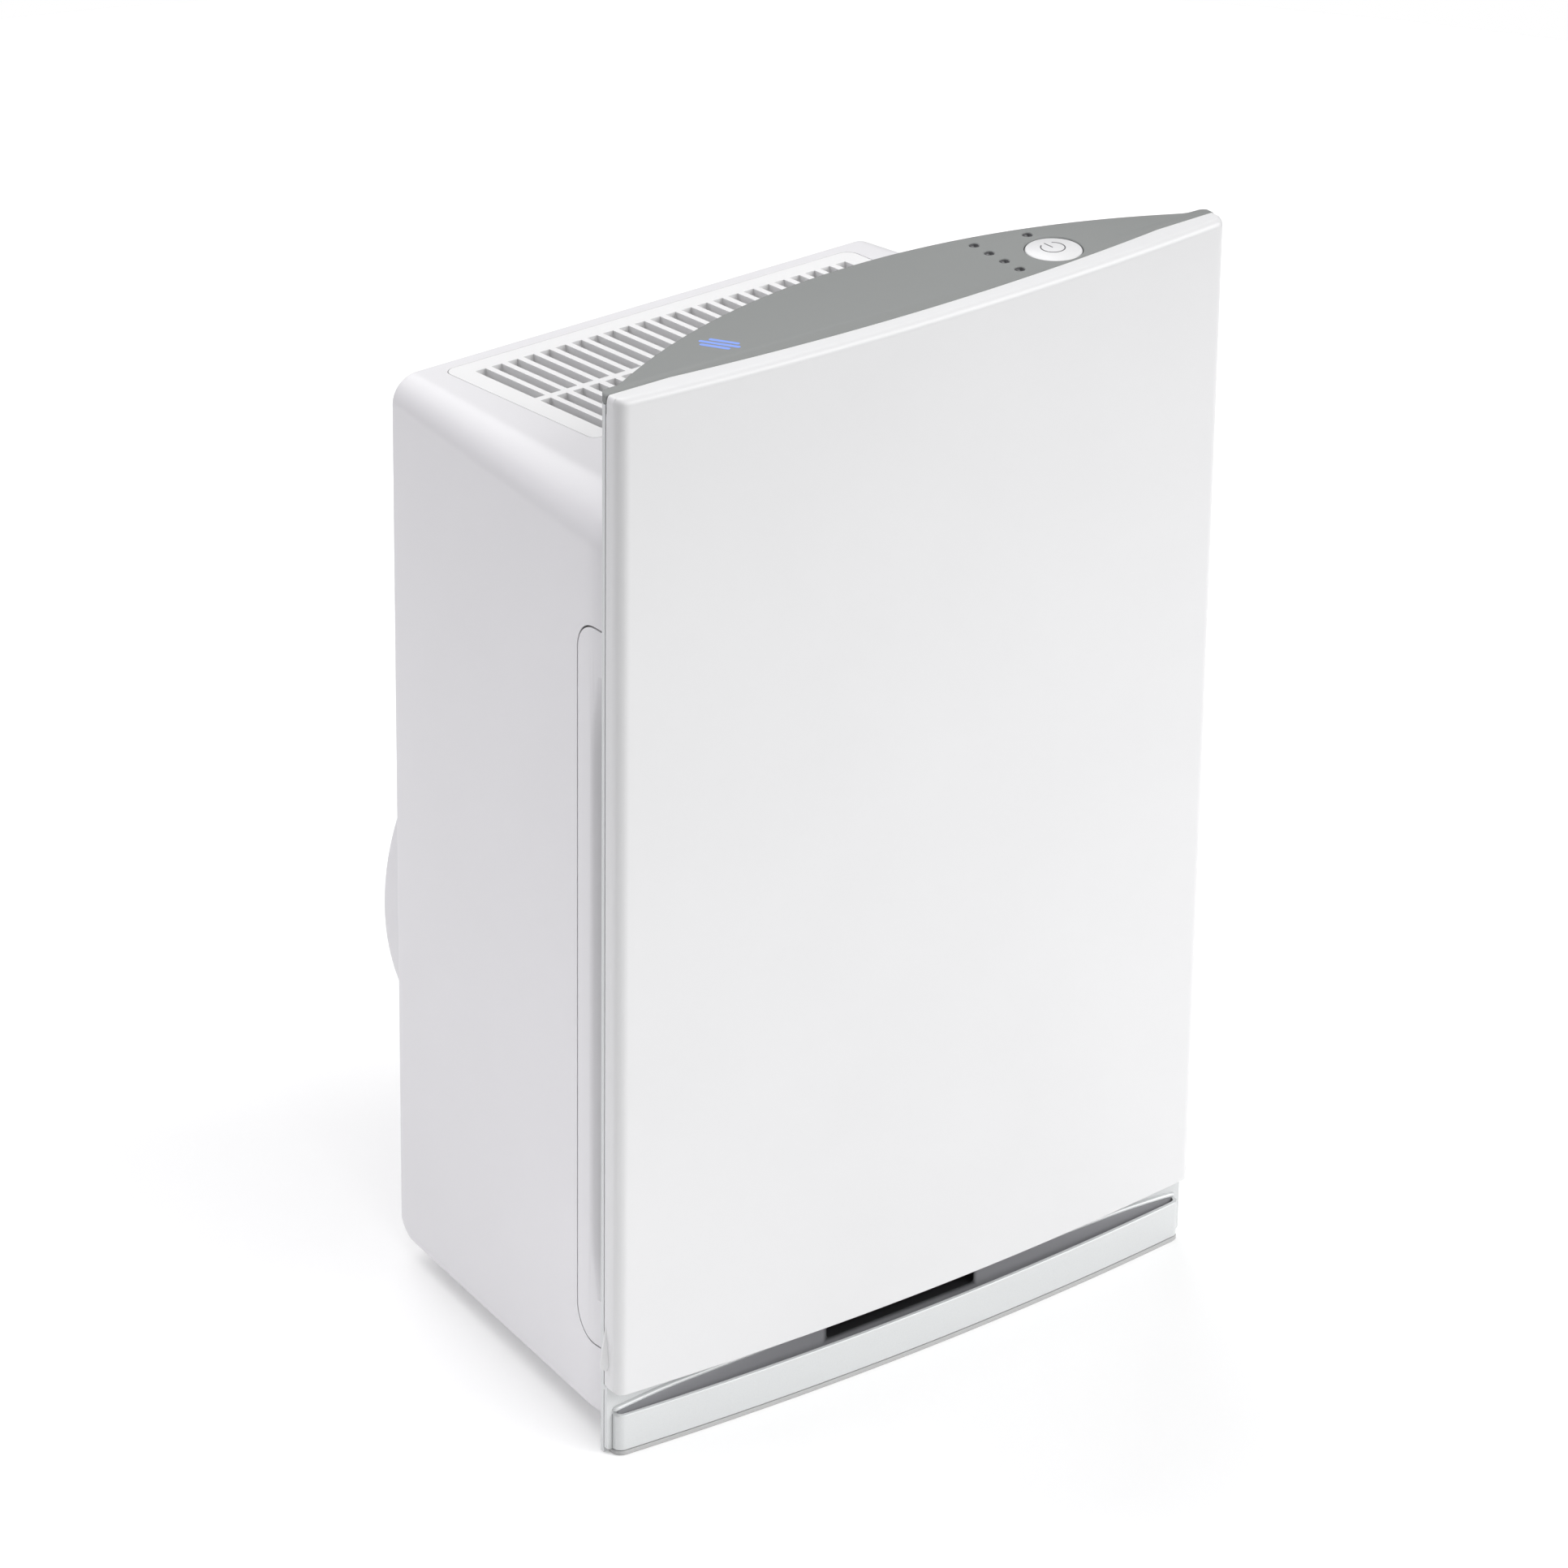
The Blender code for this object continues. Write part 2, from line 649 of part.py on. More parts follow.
def make_control_deck():
    top = DECK_TOP
    bottom = DECK_TOP - DECK_THICKNESS
    deck = prism("control_deck", deck_outline(), "Z", bottom, top, DECK_GREY)
    button_hole = circle(BUTTON_CENTRE, BUTTON_RADIUS + 0.0004, 40)
    cut(deck, prism("button_hole", button_hole, "Z", 0.510, 0.530, DECK_GREY))
    for place in led_places():
        cut(deck, prism("led_hole", circle(place, LED_RADIUS + GAP, 12), "Z", 0.510, 0.530, DECK_GREY))
    smooth(deck, 30)

    hood_top = bottom - GAP
    hood = prism("control_housing", hood_outline(0.0), "Z", 0.436, hood_top, WHITE)
    cut(hood, prism("hood_hollow", hood_outline(SKIN), "Z", 0.420, hood_top - SKIN, WHITE))
    under = [case_section(-0.004, -GAP), case_section(0.100, -GAP)]
    cut(hood, loft("case_room", under, WHITE))
    roof_hole = circle(BUTTON_CENTRE, BUTTON_RADIUS + 0.0006, 40)
    cut(hood, prism("roof_hole", roof_hole, "Z", 0.505, 0.530, WHITE))
    smooth(hood, 30)


def make_controls():
    x, y = BUTTON_CENTRE
    top = DECK_TOP - 0.0002
    levels = (
        (BUTTON_RADIUS - 0.0005, BUTTON_BOTTOM),
        (BUTTON_RADIUS, BUTTON_BOTTOM + 0.0005),
        (BUTTON_RADIUS, top - 0.0006),
        (BUTTON_RADIUS - 0.0004, top),
    )
    loops = [[(a, b, z) for a, b in circle(BUTTON_CENTRE, radius, 40)] for radius, z in levels]
    smooth(loft("power_button", loops, WHITE, (x, y, BUTTON_BOTTOM)), 40)
    low = DECK_TOP - DECK_THICKNESS + GAP
    levels = ((LED_RADIUS, low), (LED_RADIUS, DECK_TOP - 0.0008), (LED_RADIUS - 0.0005, DECK_TOP - 0.0003))
    for number, place in enumerate(led_places(), 1):
        loops = [[(a, b, z) for a, b in circle(place, radius, 12)] for radius, z in levels]
        smooth(loft(f"led_lens_{number}", loops, LENS, (*place, low)), 40)
    board = [
        (0.050, 0.0040),
        (0.098, 0.0040),
        (0.098, 0.0200),
        (0.090, 0.0270),
        (0.066, 0.0340),
        (0.050, 0.0340),
    ]
    prism("control_board", board, "Z", 0.5050, 0.5066, BOARD)
    plunger_top = BUTTON_BOTTOM - BUTTON_TRAVEL - GAP
    half = 0.0030
    switch = box("button_switch", (x - half, x + half), (y - half, y + half), (0.5069, 0.5095), DARK)
    plunger = circle(BUTTON_CENTRE, 0.0016, 12)
    fuse(switch, prism("switch_plunger", plunger, "Z", 0.5090, plunger_top, DARK))


# Filters ----------------------------------------------------------------------------------


def make_filters():
    outer = rounded(
        -FILTER_HALF, FILTER_HALF, FILTER_BOTTOM, FILTER_TOP, WINDOW_CORNER, WINDOW_CORNER, 3
    )
    pre = prism("pre_filter", outer, "Y", PRE_FILTER[0], PRE_FILTER[1], DARK)
    columns = 6
    rows = 8
    rim = 0.009
    rib = 0.003
    width = (2 * FILTER_HALF - 2 * rim - (columns - 1) * rib) / columns
    height = (FILTER_TOP - FILTER_BOTTOM - 2 * rim - (rows - 1) * rib) / rows
    windows = []
    for c in range(columns):
        for r in range(rows):
            x = -FILTER_HALF + rim + c * (width + rib)
            z = FILTER_BOTTOM + rim + r * (height + rib)
            window = rectangle(x, x + width, z, z + height)
            windows.append([[(a, y, b) for a, b in window] for y in (0.0, 0.03)])
    cut(pre, lofts("pre_filter_windows", windows, DARK))
    prism("pre_filter_mesh", outer, "Y", PRE_MESH[0], PRE_MESH[1], MESH_GREY)
    prism("carbon_filter", outer, "Y", CARBON_FILTER[0], CARBON_FILTER[1], CARBON)

    frame = prism("hepa_frame", outer, "Y", HEPA_FILTER[0], HEPA_FILTER[1], MEDIA)
    rim = 0.005
    window = rectangle(-FILTER_HALF + rim, FILTER_HALF - rim, FILTER_BOTTOM + rim, FILTER_TOP - rim)
    cut(frame, prism("hepa_window", window, "Y", 0.01, 0.08, MEDIA))
    for name, z in (("hepa_tab_upper", 0.330), ("hepa_tab_lower", 0.150)):
        tab = rectangle(FILTER_HALF - 0.0042, FILTER_HALF - 0.0006, z, z + 0.028)
        prism(name, tab, "Y", HEPA_FILTER[0] - 0.0007, HEPA_FILTER[0] - GAP, DARK)


def make_filter_tray():
    """The open sleeve that holds the filters between the frame's window and the bulkhead."""
    half = WINDOW_HALF + TRAY_WALL
    outer = rectangle(-half, half, WINDOW_BOTTOM - TRAY_WALL, WINDOW_TOP + TRAY_WALL)
    room = rectangle(-WINDOW_HALF, WINDOW_HALF, WINDOW_BOTTOM, WINDOW_TOP)
    tray = prism("filter_tray", outer, "Y", PRE_FILTER[0] + GAP, BULKHEAD_FRONT - GAP, DARK)
    cut(tray, prism("tray_room", room, "Y", 0.0, 0.08, DARK))


def make_pleats():
    """One folded sheet: a zigzag in plan, pushed up through the height of the frame."""
    half = FILTER_HALF - 0.0055
    folds = 40
    front = HEPA_FILTER[0] + 0.003
    back = HEPA_FILTER[1] - 0.0065
    path = []
    for i in range(folds + 1):
        path.append((-half + 2 * half * i / folds, front if i % 2 == 0 else back))
    outline = path + [(x, y + 0.003) for x, y in reversed(path)]
    prism("hepa_media", outline, "Z", FILTER_BOTTOM + 0.0055, FILTER_TOP - 0.0055, MEDIA)


# Fan --------------------------------------------------------------------------------------


def screw_place(degrees):
    angle = math.radians(degrees)
    return (MOTOR_SCREW_CIRCLE * math.cos(angle), FAN_Z + MOTOR_SCREW_CIRCLE * math.sin(angle))


def make_bulkhead():
    loops = [case_section(BULKHEAD_FRONT, WALL + 0.0004), case_section(BULKHEAD_REAR, WALL + 0.0004)]
    wall = loft("fan_bulkhead", loops, DARK)
    cut(wall, prism("fan_eye", circle((0.0, FAN_Z), 0.080, 40), "Y", 0.050, 0.090, CASE_WHITE))
    profile = [
        (0.0900, 0.0693),
        (0.0900, 0.0713),
        (0.0790, 0.0713),
        (0.0750, 0.0760),
        (0.0742, 0.0885),
        (0.0726, 0.0885),
        (0.0732, 0.0750),
        (0.0775, 0.0693),
    ]
    smooth(turned("inlet_ring", profile, DARK, 40))

    front = HEPA_FILTER[1] + 0.0006
    rear = BULKHEAD_FRONT - GAP
    guard = turned("fan_guard", [(0.082, front), (0.088, front), (0.088, rear), (0.082, rear)], DARK, 32)
    middle = [(0.043, front + GAP), (0.046, front + GAP), (0.046, rear - GAP), (0.043, rear - GAP)]
    fuse(guard, turned("guard_ring", middle, DARK, 28))
    for degrees in (0, 45, 90, 135):
        angle = math.radians(degrees)
        along = Vector((math.cos(angle), math.sin(angle)))
        across = Vector((-along.y, along.x)) * 0.0014
        corners = []
        for end, side in ((-1, -1), (1, -1), (1, 1), (-1, 1)):
            point = along * (0.085 * end) + across * side
            corners.append((point.x, FAN_Z + point.y))
        fuse(guard, prism("guard_bar", corners, "Y", front + 0.0005, rear - 0.0005, DARK))


def band(path, thickness):
    """A closed outline of the given thickness around an open path."""
    left = []
    right = []
    for i, point in enumerate(path):
        before = Vector(path[max(i - 1, 0)])
        after = Vector(path[min(i + 1, len(path) - 1)])
        along = (after - before).normalized()
        across = Vector((-along.y, along.x)) * (thickness / 2)
        left.append((point[0] + across.x, point[1] + across.y))
        right.append((point[0] - across.x, point[1] - across.y))
    return left + right[::-1]


def make_scroll():
    """The volute: right duct wall, tongue, growing spiral round the impeller, left duct wall."""
    path = [(0.107, 0.434), (0.107, 0.345), (0.070, 0.281), (0.062, 0.270), (0.060, 0.261), (0.064, 0.253)]
    first = 50.0
    last = -180.0
    steps = 26
    for i in range(1, steps + 1):
        degrees = first + (last - first) * i / steps
        radius = 0.104 + 0.024 * i / steps
        angle = math.radians(degrees)
        path.append((radius * math.cos(angle), FAN_Z + radius * math.sin(angle)))
    path += [(-0.124, 0.230), (-0.107, 0.345), (-0.107, 0.434)]
    prism("scroll_housing", band(path, 0.002), "Y", BULKHEAD_REAR + GAP, 0.1970, DARK)


def make_impeller():
    hub_back = IMPELLER_BACK
    disc = [
        (SHAFT_RADIUS + GAP, 0.1500),
        (0.0140, 0.1500),
        (0.0160, hub_back - 0.002),
        (IMPELLER_RADIUS, hub_back - 0.002),
        (IMPELLER_RADIUS, hub_back),
        (SHAFT_RADIUS + GAP, hub_back),
    ]
    wheel = turned("impeller", disc, DARK, 44, origin=(0.0, IMPELLER_BACK, FAN_Z))
    rim = [
        (IMPELLER_EYE, IMPELLER_FRONT),
        (IMPELLER_RADIUS, IMPELLER_FRONT),
        (IMPELLER_RADIUS, IMPELLER_FRONT + 0.002),
        (IMPELLER_EYE, IMPELLER_FRONT + 0.002),
    ]
    fuse(wheel, turned("impeller_rim", rim, DARK, 44))
    blades = []
    for k in range(BLADE_COUNT):
        turn = 2 * math.pi * k / BLADE_COUNT
        path = []
        for i in range(4):
            share = i / 3
            radius = IMPELLER_EYE + 0.001 + (IMPELLER_RADIUS - IMPELLER_EYE - 0.002) * share
            angle = turn + math.radians(9.0) * share * share
            path.append((radius * math.cos(angle), FAN_Z + radius * math.sin(angle)))
        outline = band(path, 0.0014)
        levels = (IMPELLER_FRONT + 0.001, IMPELLER_BACK - 0.001)
        blades.append([[(a, y, b) for a, b in outline] for y in levels])
    fuse(wheel, lofts("impeller_blades", blades, DARK))

    nut_bore = (SHAFT_RADIUS + GAP) / math.cos(math.pi / 6)
    nut = [(nut_bore, 0.1462), (0.0080, 0.1462), (0.0080, 0.1497), (nut_bore, 0.1497)]
    turned("hub_nut", nut, STEEL, 6)
    shaft = [(0.0034, 0.1440), (SHAFT_RADIUS, 0.1446), (SHAFT_RADIUS, 0.2236), (0.0034, 0.2242)]
    smooth(turned_solid("motor_shaft", shaft, STEEL, 24), 40)


def make_motor():
    pocket = 0.0113
    depth = 0.0070
    profile = [
        (pocket, MOTOR_FRONT),
        (MOTOR_RADIUS - 0.003, MOTOR_FRONT),
        (MOTOR_RADIUS, MOTOR_FRONT + 0.003),
        (MOTOR_RADIUS, MOTOR_REAR - 0.003),
        (MOTOR_RADIUS - 0.003, MOTOR_REAR),
        (pocket, MOTOR_REAR),
        (pocket, MOTOR_REAR - depth),
        (0.0050, MOTOR_REAR - depth),
        (0.0050, MOTOR_FRONT + depth),
        (pocket, MOTOR_FRONT + depth),
    ]
    smooth(turned("motor_body", profile, MOTOR_STEEL, 32), 30)
    bearings = (("bearing_front", MOTOR_FRONT), ("bearing_rear", MOTOR_REAR - depth))
    for name, start in bearings:
        low = start + GAP
        high = start + depth - GAP
        ring = [(BEARING_BORE, low), (0.0110, low), (0.0110, high), (BEARING_BORE, high)]
        turned(name, ring, STEEL, 24)

    low = CASE_REAR + GAP
    high = low + 0.002
    ring = [(MOTOR_RADIUS + 0.0004, low), (0.1120, low), (0.1120, high), (MOTOR_RADIUS + 0.0004, high)]
    mount = turned("motor_mount", ring, STEEL, 36)
    for k in range(6):
        angle = math.radians(60 * k)
        place = (0.078 * math.cos(angle), FAN_Z + 0.078 * math.sin(angle))
        cut(mount, prism("mount_window", circle(place, 0.020, 14), "Y", 0.190, 0.210, STEEL))
    for number, degrees in enumerate((45, 135, 225, 315), 1):
        place = screw_place(degrees)
        hole = circle(place, SCREW_RADIUS + GAP, 12)
        cut(mount, prism("mount_screw_hole", hole, "Y", 0.190, 0.210, STEEL))
        make_screw(f"motor_screw_{number}", place, CASE_REAR - 0.0036, high + GAP, 1)

    edge = MOTOR_COVER_EDGE
    outer = [
        (MOTOR_COVER_RADIUS, CASE_REAR + GAP),
        (MOTOR_COVER_RADIUS, MOTOR_COVER_REAR - edge),
        (MOTOR_COVER_RADIUS - 0.3 * edge, MOTOR_COVER_REAR - 0.3 * edge),
        (MOTOR_COVER_RADIUS - edge, MOTOR_COVER_REAR),
    ]
    dish = turned_solid("motor_cover", outer, CASE_WHITE, 56)
    inside = MOTOR_COVER_RADIUS - SKIN
    hollow = [(inside, 0.190), (inside, MOTOR_COVER_REAR - SKIN)]
    cut(dish, turned_solid("motor_cover_hollow", hollow, CASE_WHITE, 56))
    smooth(dish, 30)


# Electrics and screws ---------------------------------------------------------------------


def make_electrics():
    inlet = prism("mains_inlet", mains_outline(), "Y", 0.184, CASE_REAR + 0.0008, DARK)
    cut(inlet, prism("mains_pocket", mains_outline(-0.0027), "Y", 0.188, 0.210, DARK))
    for offset in (-0.0043, 0.0043):
        pin = circle((MAINS_CENTRE[0] + offset, MAINS_CENTRE[1]), 0.0012, 10)
        fuse(inlet, prism("mains_pin", pin, "Y", 0.186, 0.199, STEEL))
    box("power_board", (-0.1310, -0.0990), (0.1500, 0.1516), (0.0240, 0.0700), BOARD)
    can = [(0.0085, 0.1000), (0.0090, 0.1005), (0.0090, 0.1295), (0.0085, 0.1300)]
    smooth(turned_solid("run_capacitor", can, ALUMINIUM, 20, (-0.120, 0.042)), 40)


def make_screw(name, place, tip, seat, direction):
    """Shank from tip to seat, head from seat outwards; direction is +1 where the head is behind."""
    head = seat + direction * 0.0020
    levels = [(0.0008, tip), (SCREW_RADIUS, tip + direction * 0.0012), (SCREW_RADIUS, seat)]
    levels += [(SCREW_HEAD, seat), (SCREW_HEAD, seat + direction * 0.0012), (SCREW_HEAD - 0.0010, head)]
    turned_solid(name, levels, STEEL, 12, place)


def make_frame_screws():
    number = 1
    for z in SCREW_HEIGHTS:
        for side in (-1, 1):
            make_screw(f"frame_screw_{number}", (side * SCREW_X, z), 0.0180, -FRAME_THICKNESS - GAP, -1)
            number += 1


make_rear_case()
make_front_frame()
make_base()
make_rear_feet()
make_side_inlets()
make_outlet_grille()
make_front_cover()
make_control_deck()
make_controls()
make_filters()
make_filter_tray()
make_pleats()
make_bulkhead()
make_scroll()
make_impeller()
make_motor()
make_electrics()
make_frame_screws()
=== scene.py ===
"""Looks for the slim room air cleaner: camera, studio, materials and the fine surfaces.

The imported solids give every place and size. Where a solid is too coarse for a close look, a finer
piece stands for it; the others keep their shape and get their material here. Shapes are drawn in
metres in the assembly's own coordinates, where y = 0 is the rear face of the front frame, and
BACK carries them to the frame's.
"""

import math

import bmesh
import bpy
from mathutils import Matrix, Vector


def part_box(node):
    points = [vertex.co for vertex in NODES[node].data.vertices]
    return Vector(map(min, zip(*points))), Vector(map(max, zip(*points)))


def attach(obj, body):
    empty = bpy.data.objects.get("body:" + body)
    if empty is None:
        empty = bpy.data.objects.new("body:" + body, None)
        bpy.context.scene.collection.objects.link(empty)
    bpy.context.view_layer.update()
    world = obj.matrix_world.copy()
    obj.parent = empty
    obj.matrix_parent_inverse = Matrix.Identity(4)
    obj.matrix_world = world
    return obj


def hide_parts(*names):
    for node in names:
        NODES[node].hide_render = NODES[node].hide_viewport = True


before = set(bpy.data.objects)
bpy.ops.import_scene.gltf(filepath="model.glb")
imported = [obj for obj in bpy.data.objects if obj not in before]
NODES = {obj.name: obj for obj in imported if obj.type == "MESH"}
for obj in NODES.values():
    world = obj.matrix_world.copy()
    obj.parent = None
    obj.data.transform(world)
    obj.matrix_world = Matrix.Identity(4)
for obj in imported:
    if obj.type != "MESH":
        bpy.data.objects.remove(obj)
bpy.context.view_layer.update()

# Places read from the frame
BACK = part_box("front_frame")[1].y
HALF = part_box("front_frame")[1].x
FRAME_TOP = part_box("front_frame")[1].z
DECK_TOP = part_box("control_deck")[1].z
COVER_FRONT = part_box("front_cover")[0].y - BACK
COVER_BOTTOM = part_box("front_cover")[0].z
CASE_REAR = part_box("rear_case")[1].y - BACK
MOTOR_COVER_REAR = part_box("motor_cover")[1].y - BACK
MOTOR_COVER_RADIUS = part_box("motor_cover")[1].x
FAN_Z = (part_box("motor_cover")[0].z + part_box("motor_cover")[1].z) / 2
BASE_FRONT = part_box("base_bar")[0].y - BACK
BASE_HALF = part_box("base_bar")[1].x
BASE_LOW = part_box("base_bar")[0].z
BASE_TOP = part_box("base_bar")[1].z
PAD_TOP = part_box("foot_strip")[1].z

# Sizes that the solids share
GAP = 0.0003
PLATE = 0.003
WALL = 0.003
SKIN = 0.0025
CASE_FRONT_HALF = 0.1637
SIDE_TAPER = 0.135
FRONT_CURVE_LENGTH = 0.022
FRONT_CURVE_DEPTH = 0.0038
CASE_TOP = 0.4640
TOP_FALL = 0.080
CASE_BOTTOM = 0.0133
BOTTOM_FALL = 0.024
TOP_RADIUS = (0.024, 0.013)
HEEL_RADIUS = 0.012
COVER_BOW = 1.62
COVER_CORNER = 0.006
COVER_FILLET = 0.0035
COVER_REAR = -0.0012
FLANGE_INNER = 0.1643
FLANGE = (-0.0006, 0.0015)
FOOT_CORNER = 0.0040
RIDGE_Z = 0.0246
RIDGE_END_Z = 0.0225
RIDGE_RISE_LENGTH = 0.040
RIDGE_REACH = 0.0017
RIDGE_LOW = 0.0012
RIDGE_HIGH = 0.0014
INLET_HALF = 0.043
INLET_LOW = 0.0168
INLET_HIGH = 0.0242
MOUTH_LOW = 0.0170
DUCT_WALL = 0.0008
BASE_BOW = 1.70
DECK_FRONT = -0.0096
DECK_KINK = (0.134, -0.0016)
DECK_REAR = 0.046
DECK_REAR_RADIUS = 0.315
DECK_TIP_FRONT = -0.0011
DECK_TIP_RADIUS = 0.0047
DECK_TIP_EASE = 0.0012
TIP_RADIUS = 0.0016
FAN_OPENING = 0.100


# Camera -----------------------------------------------------------------------------------


def aim_camera():
    """A long lens, well to the left of the front and above it, turned a little about its axis."""
    azimuth = math.radians(-37.786)
    elevation = math.radians(27.184)
    roll = math.radians(0.737)
    place = Vector((-2.0304, BACK - 2.5302, 1.9523))
    ahead = Vector((math.sin(azimuth), -math.cos(azimuth), 0.0)) * math.cos(elevation)
    back = ahead + Vector((0.0, 0.0, math.sin(elevation)))
    level = Vector((math.cos(azimuth), math.sin(azimuth), 0.0))
    above = back.cross(level)
    right = level * math.cos(roll) + above * math.sin(roll)
    up = above * math.cos(roll) - level * math.sin(roll)
    camera = bpy.data.cameras.new("camera")
    camera.sensor_width = 36.0
    camera.lens = 188.2
    camera.clip_end = 50.0
    holder = bpy.data.objects.new("camera", camera)
    bpy.context.scene.collection.objects.link(holder)
    columns = (right, up, back)
    turn = Matrix([[column[row] for column in columns] for row in range(3)]).to_4x4()
    holder.matrix_world = Matrix.Translation(place) @ turn
    bpy.context.scene.camera = holder


# Materials --------------------------------------------------------------------------------


class Surface:
    """A Principled material with its texture nodes in the row frame's metres."""

    def __init__(self, name, colour, roughness, metallic=0.0):
        self.material = bpy.data.materials.new(name)
        self.material.use_nodes = True
        self.tree = self.material.node_tree
        self.shader = self.tree.nodes["Principled BSDF"]
        self.colour = colour
        self.shader.inputs["Base Color"].default_value = (*colour, 1.0)
        self.shader.inputs["Roughness"].default_value = roughness
        self.shader.inputs["Metallic"].default_value = metallic
        self.roughness = roughness
        self.place = self.tree.nodes.new("ShaderNodeTexCoord").outputs["Object"]
        self.normal = None

    def node(self, kind, **sockets):
        made = self.tree.nodes.new(kind)
        for key, value in sockets.items():
            made.inputs[key.replace("_", " ")].default_value = value
        return made

    def link(self, output, target):
        self.tree.links.new(output, target)

    def noise(self, scale, detail=2.0, stretch=None):
        source = self.place
        if stretch:
            mapping = self.node("ShaderNodeMapping", Scale=stretch)
            self.link(source, mapping.inputs["Vector"])
            source = mapping.outputs["Vector"]
        made = self.node("ShaderNodeTexNoise", Scale=scale, Detail=detail)
        self.link(source, made.inputs["Vector"])
        return made.outputs["Fac"]

    def tint(self, fac, low, high):
        """Base colour between low and high times the surface's own colour."""
        ramp = self.tree.nodes.new("ShaderNodeValToRGB")
        for element, share in zip(ramp.color_ramp.elements, (low, high)):
            element.color = (*(min(channel * share, 1.0) for channel in self.colour), 1.0)
        ramp.color_ramp.elements[0].position = 0.3
        ramp.color_ramp.elements[1].position = 0.7
        self.link(fac, ramp.inputs["Fac"])
        self.link(ramp.outputs["Color"], self.shader.inputs["Base Color"])

    def rough(self, fac, spread):
        low, high = self.roughness - spread, self.roughness + spread
        span = self.node("ShaderNodeMapRange", To_Min=low, To_Max=high)
        self.link(fac, span.inputs["Value"])
        self.link(span.outputs["Result"], self.shader.inputs["Roughness"])

    def bump(self, height, distance, strength=1.0):
        made = self.node("ShaderNodeBump", Distance=distance, Strength=strength)
        self.link(height, made.inputs["Height"])
        if self.normal:
            self.link(self.normal, made.inputs["Normal"])
        self.normal = made.outputs["Normal"]
        self.link(self.normal, self.shader.inputs["Normal"])


def moulded(name, colour, roughness, grain=900.0, depth=0.00002, coat=0.0, wave=0.0):
    """Injection-moulded plastic: fine grain, slow colour and gloss drift, a slight waviness."""
    surface = Surface(name, colour, roughness)
    surface.tint(surface.noise(14.0, 3.0), 0.992, 1.008)
    surface.rough(surface.noise(60.0, 4.0), 0.03)
    surface.bump(surface.noise(grain, 3.0), depth)
    if wave:
        surface.bump(surface.noise(9.0, 1.0), wave)
    surface.shader.inputs["Coat Weight"].default_value = coat
    surface.shader.inputs["Coat Roughness"].default_value = 0.12
    return surface.material


def grey_with_painted_shade(name, colour):
    """Grey plastic whose colour falls to black towards the rim of the air inlet: painted shade."""
    surface = Surface(name, colour, 0.5)
    split = surface.node("ShaderNodeSeparateXYZ")
    surface.link(surface.place, split.inputs["Vector"])

    def maths(operation, first, second=0.0):
        made = surface.tree.nodes.new("ShaderNodeMath")
        made.operation = operation
        for socket, value in zip(made.inputs, (first, second)):
            if isinstance(value, float):
                socket.default_value = value
            else:
                surface.link(value, socket)
        return made.outputs["Value"]

    # Painted shade: the base colour goes from black at the inlet's rim up to the grey within 3.5 mm.
    beside = maths("SUBTRACT", maths("ABSOLUTE", split.outputs["X"]), INLET_HALF - 0.001)
    below = maths("SUBTRACT", MOUTH_LOW + 0.0006, split.outputs["Z"])
    away = maths("MAXIMUM", maths("DIVIDE", beside, 0.0035), maths("DIVIDE", below, 0.0035))
    lightness = surface.node("ShaderNodeMapRange", To_Min=0.05, To_Max=1.0)
    lightness.interpolation_type = "SMOOTHSTEP"
    surface.link(away, lightness.inputs["Value"])
    ramp = surface.tree.nodes.new("ShaderNodeValToRGB")
    ramp.color_ramp.elements[0].color = (0.0, 0.0, 0.0, 1.0)
    ramp.color_ramp.elements[1].color = (*colour, 1.0)
    surface.link(lightness.outputs["Result"], ramp.inputs["Fac"])
    surface.link(ramp.outputs["Color"], surface.shader.inputs["Base Color"])
    surface.bump(surface.noise(1300.0, 3.0), 0.00002)
    return surface.material


def painted_silver(name, colour):
    """Satin silver paint with fine metallic flake."""
    surface = Surface(name, colour, 0.38, 0.25)
    flake = surface.noise(2600.0, 1.0)
    surface.tint(flake, 0.975, 1.025)
    surface.rough(surface.noise(90.0, 3.0), 0.04)
    surface.bump(flake, 0.00001)
    return surface.material


def fabric(name, colour, pitch, depth, roughness=0.9):
    """Two crossed waves make a woven or mesh cloth, darkened between its threads as painted shade."""
    surface = Surface(name, colour, roughness)
    heights = []
    for direction in ("X", "Z"):
        wave = surface.node("ShaderNodeTexWave", Scale=1.0 / pitch)
        wave.bands_direction = direction
        surface.link(surface.place, wave.inputs["Vector"])
        heights.append(wave.outputs["Fac"])
    cross = surface.tree.nodes.new("ShaderNodeMath")
    cross.operation = "MAXIMUM"
    surface.link(heights[0], cross.inputs[0])
    surface.link(heights[1], cross.inputs[1])
    # Painted shade: the colour follows the bump, darker where the weave sinks between the threads.
    surface.tint(cross.outputs["Value"], 0.55, 1.1)
    surface.bump(cross.outputs["Value"], depth)
    surface.shader.inputs["Sheen Weight"].default_value = 0.15
    return surface.material


def foam(name, colour):
    """Open carbon foam: Voronoi cells whose sunk pores are darkened as painted shade."""
    surface = Surface(name, colour, 0.95)
    cells = surface.node("ShaderNodeTexVoronoi", Scale=420.0)
    surface.link(surface.place, cells.inputs["Vector"])
    # Painted shade: the colour follows the bump, darker in the sunk pores.
    surface.tint(cells.outputs["Distance"], 0.4, 1.6)
    surface.bump(cells.outputs["Distance"], 0.0008)
    return surface.material


def paper(name, colour):
    surface = Surface(name, colour, 0.92)
    surface.tint(surface.noise(240.0, 4.0), 0.96, 1.03)
    surface.bump(surface.noise(1500.0, 4.0), 0.00008)
    surface.shader.inputs["Sheen Weight"].default_value = 0.1
    return surface.material


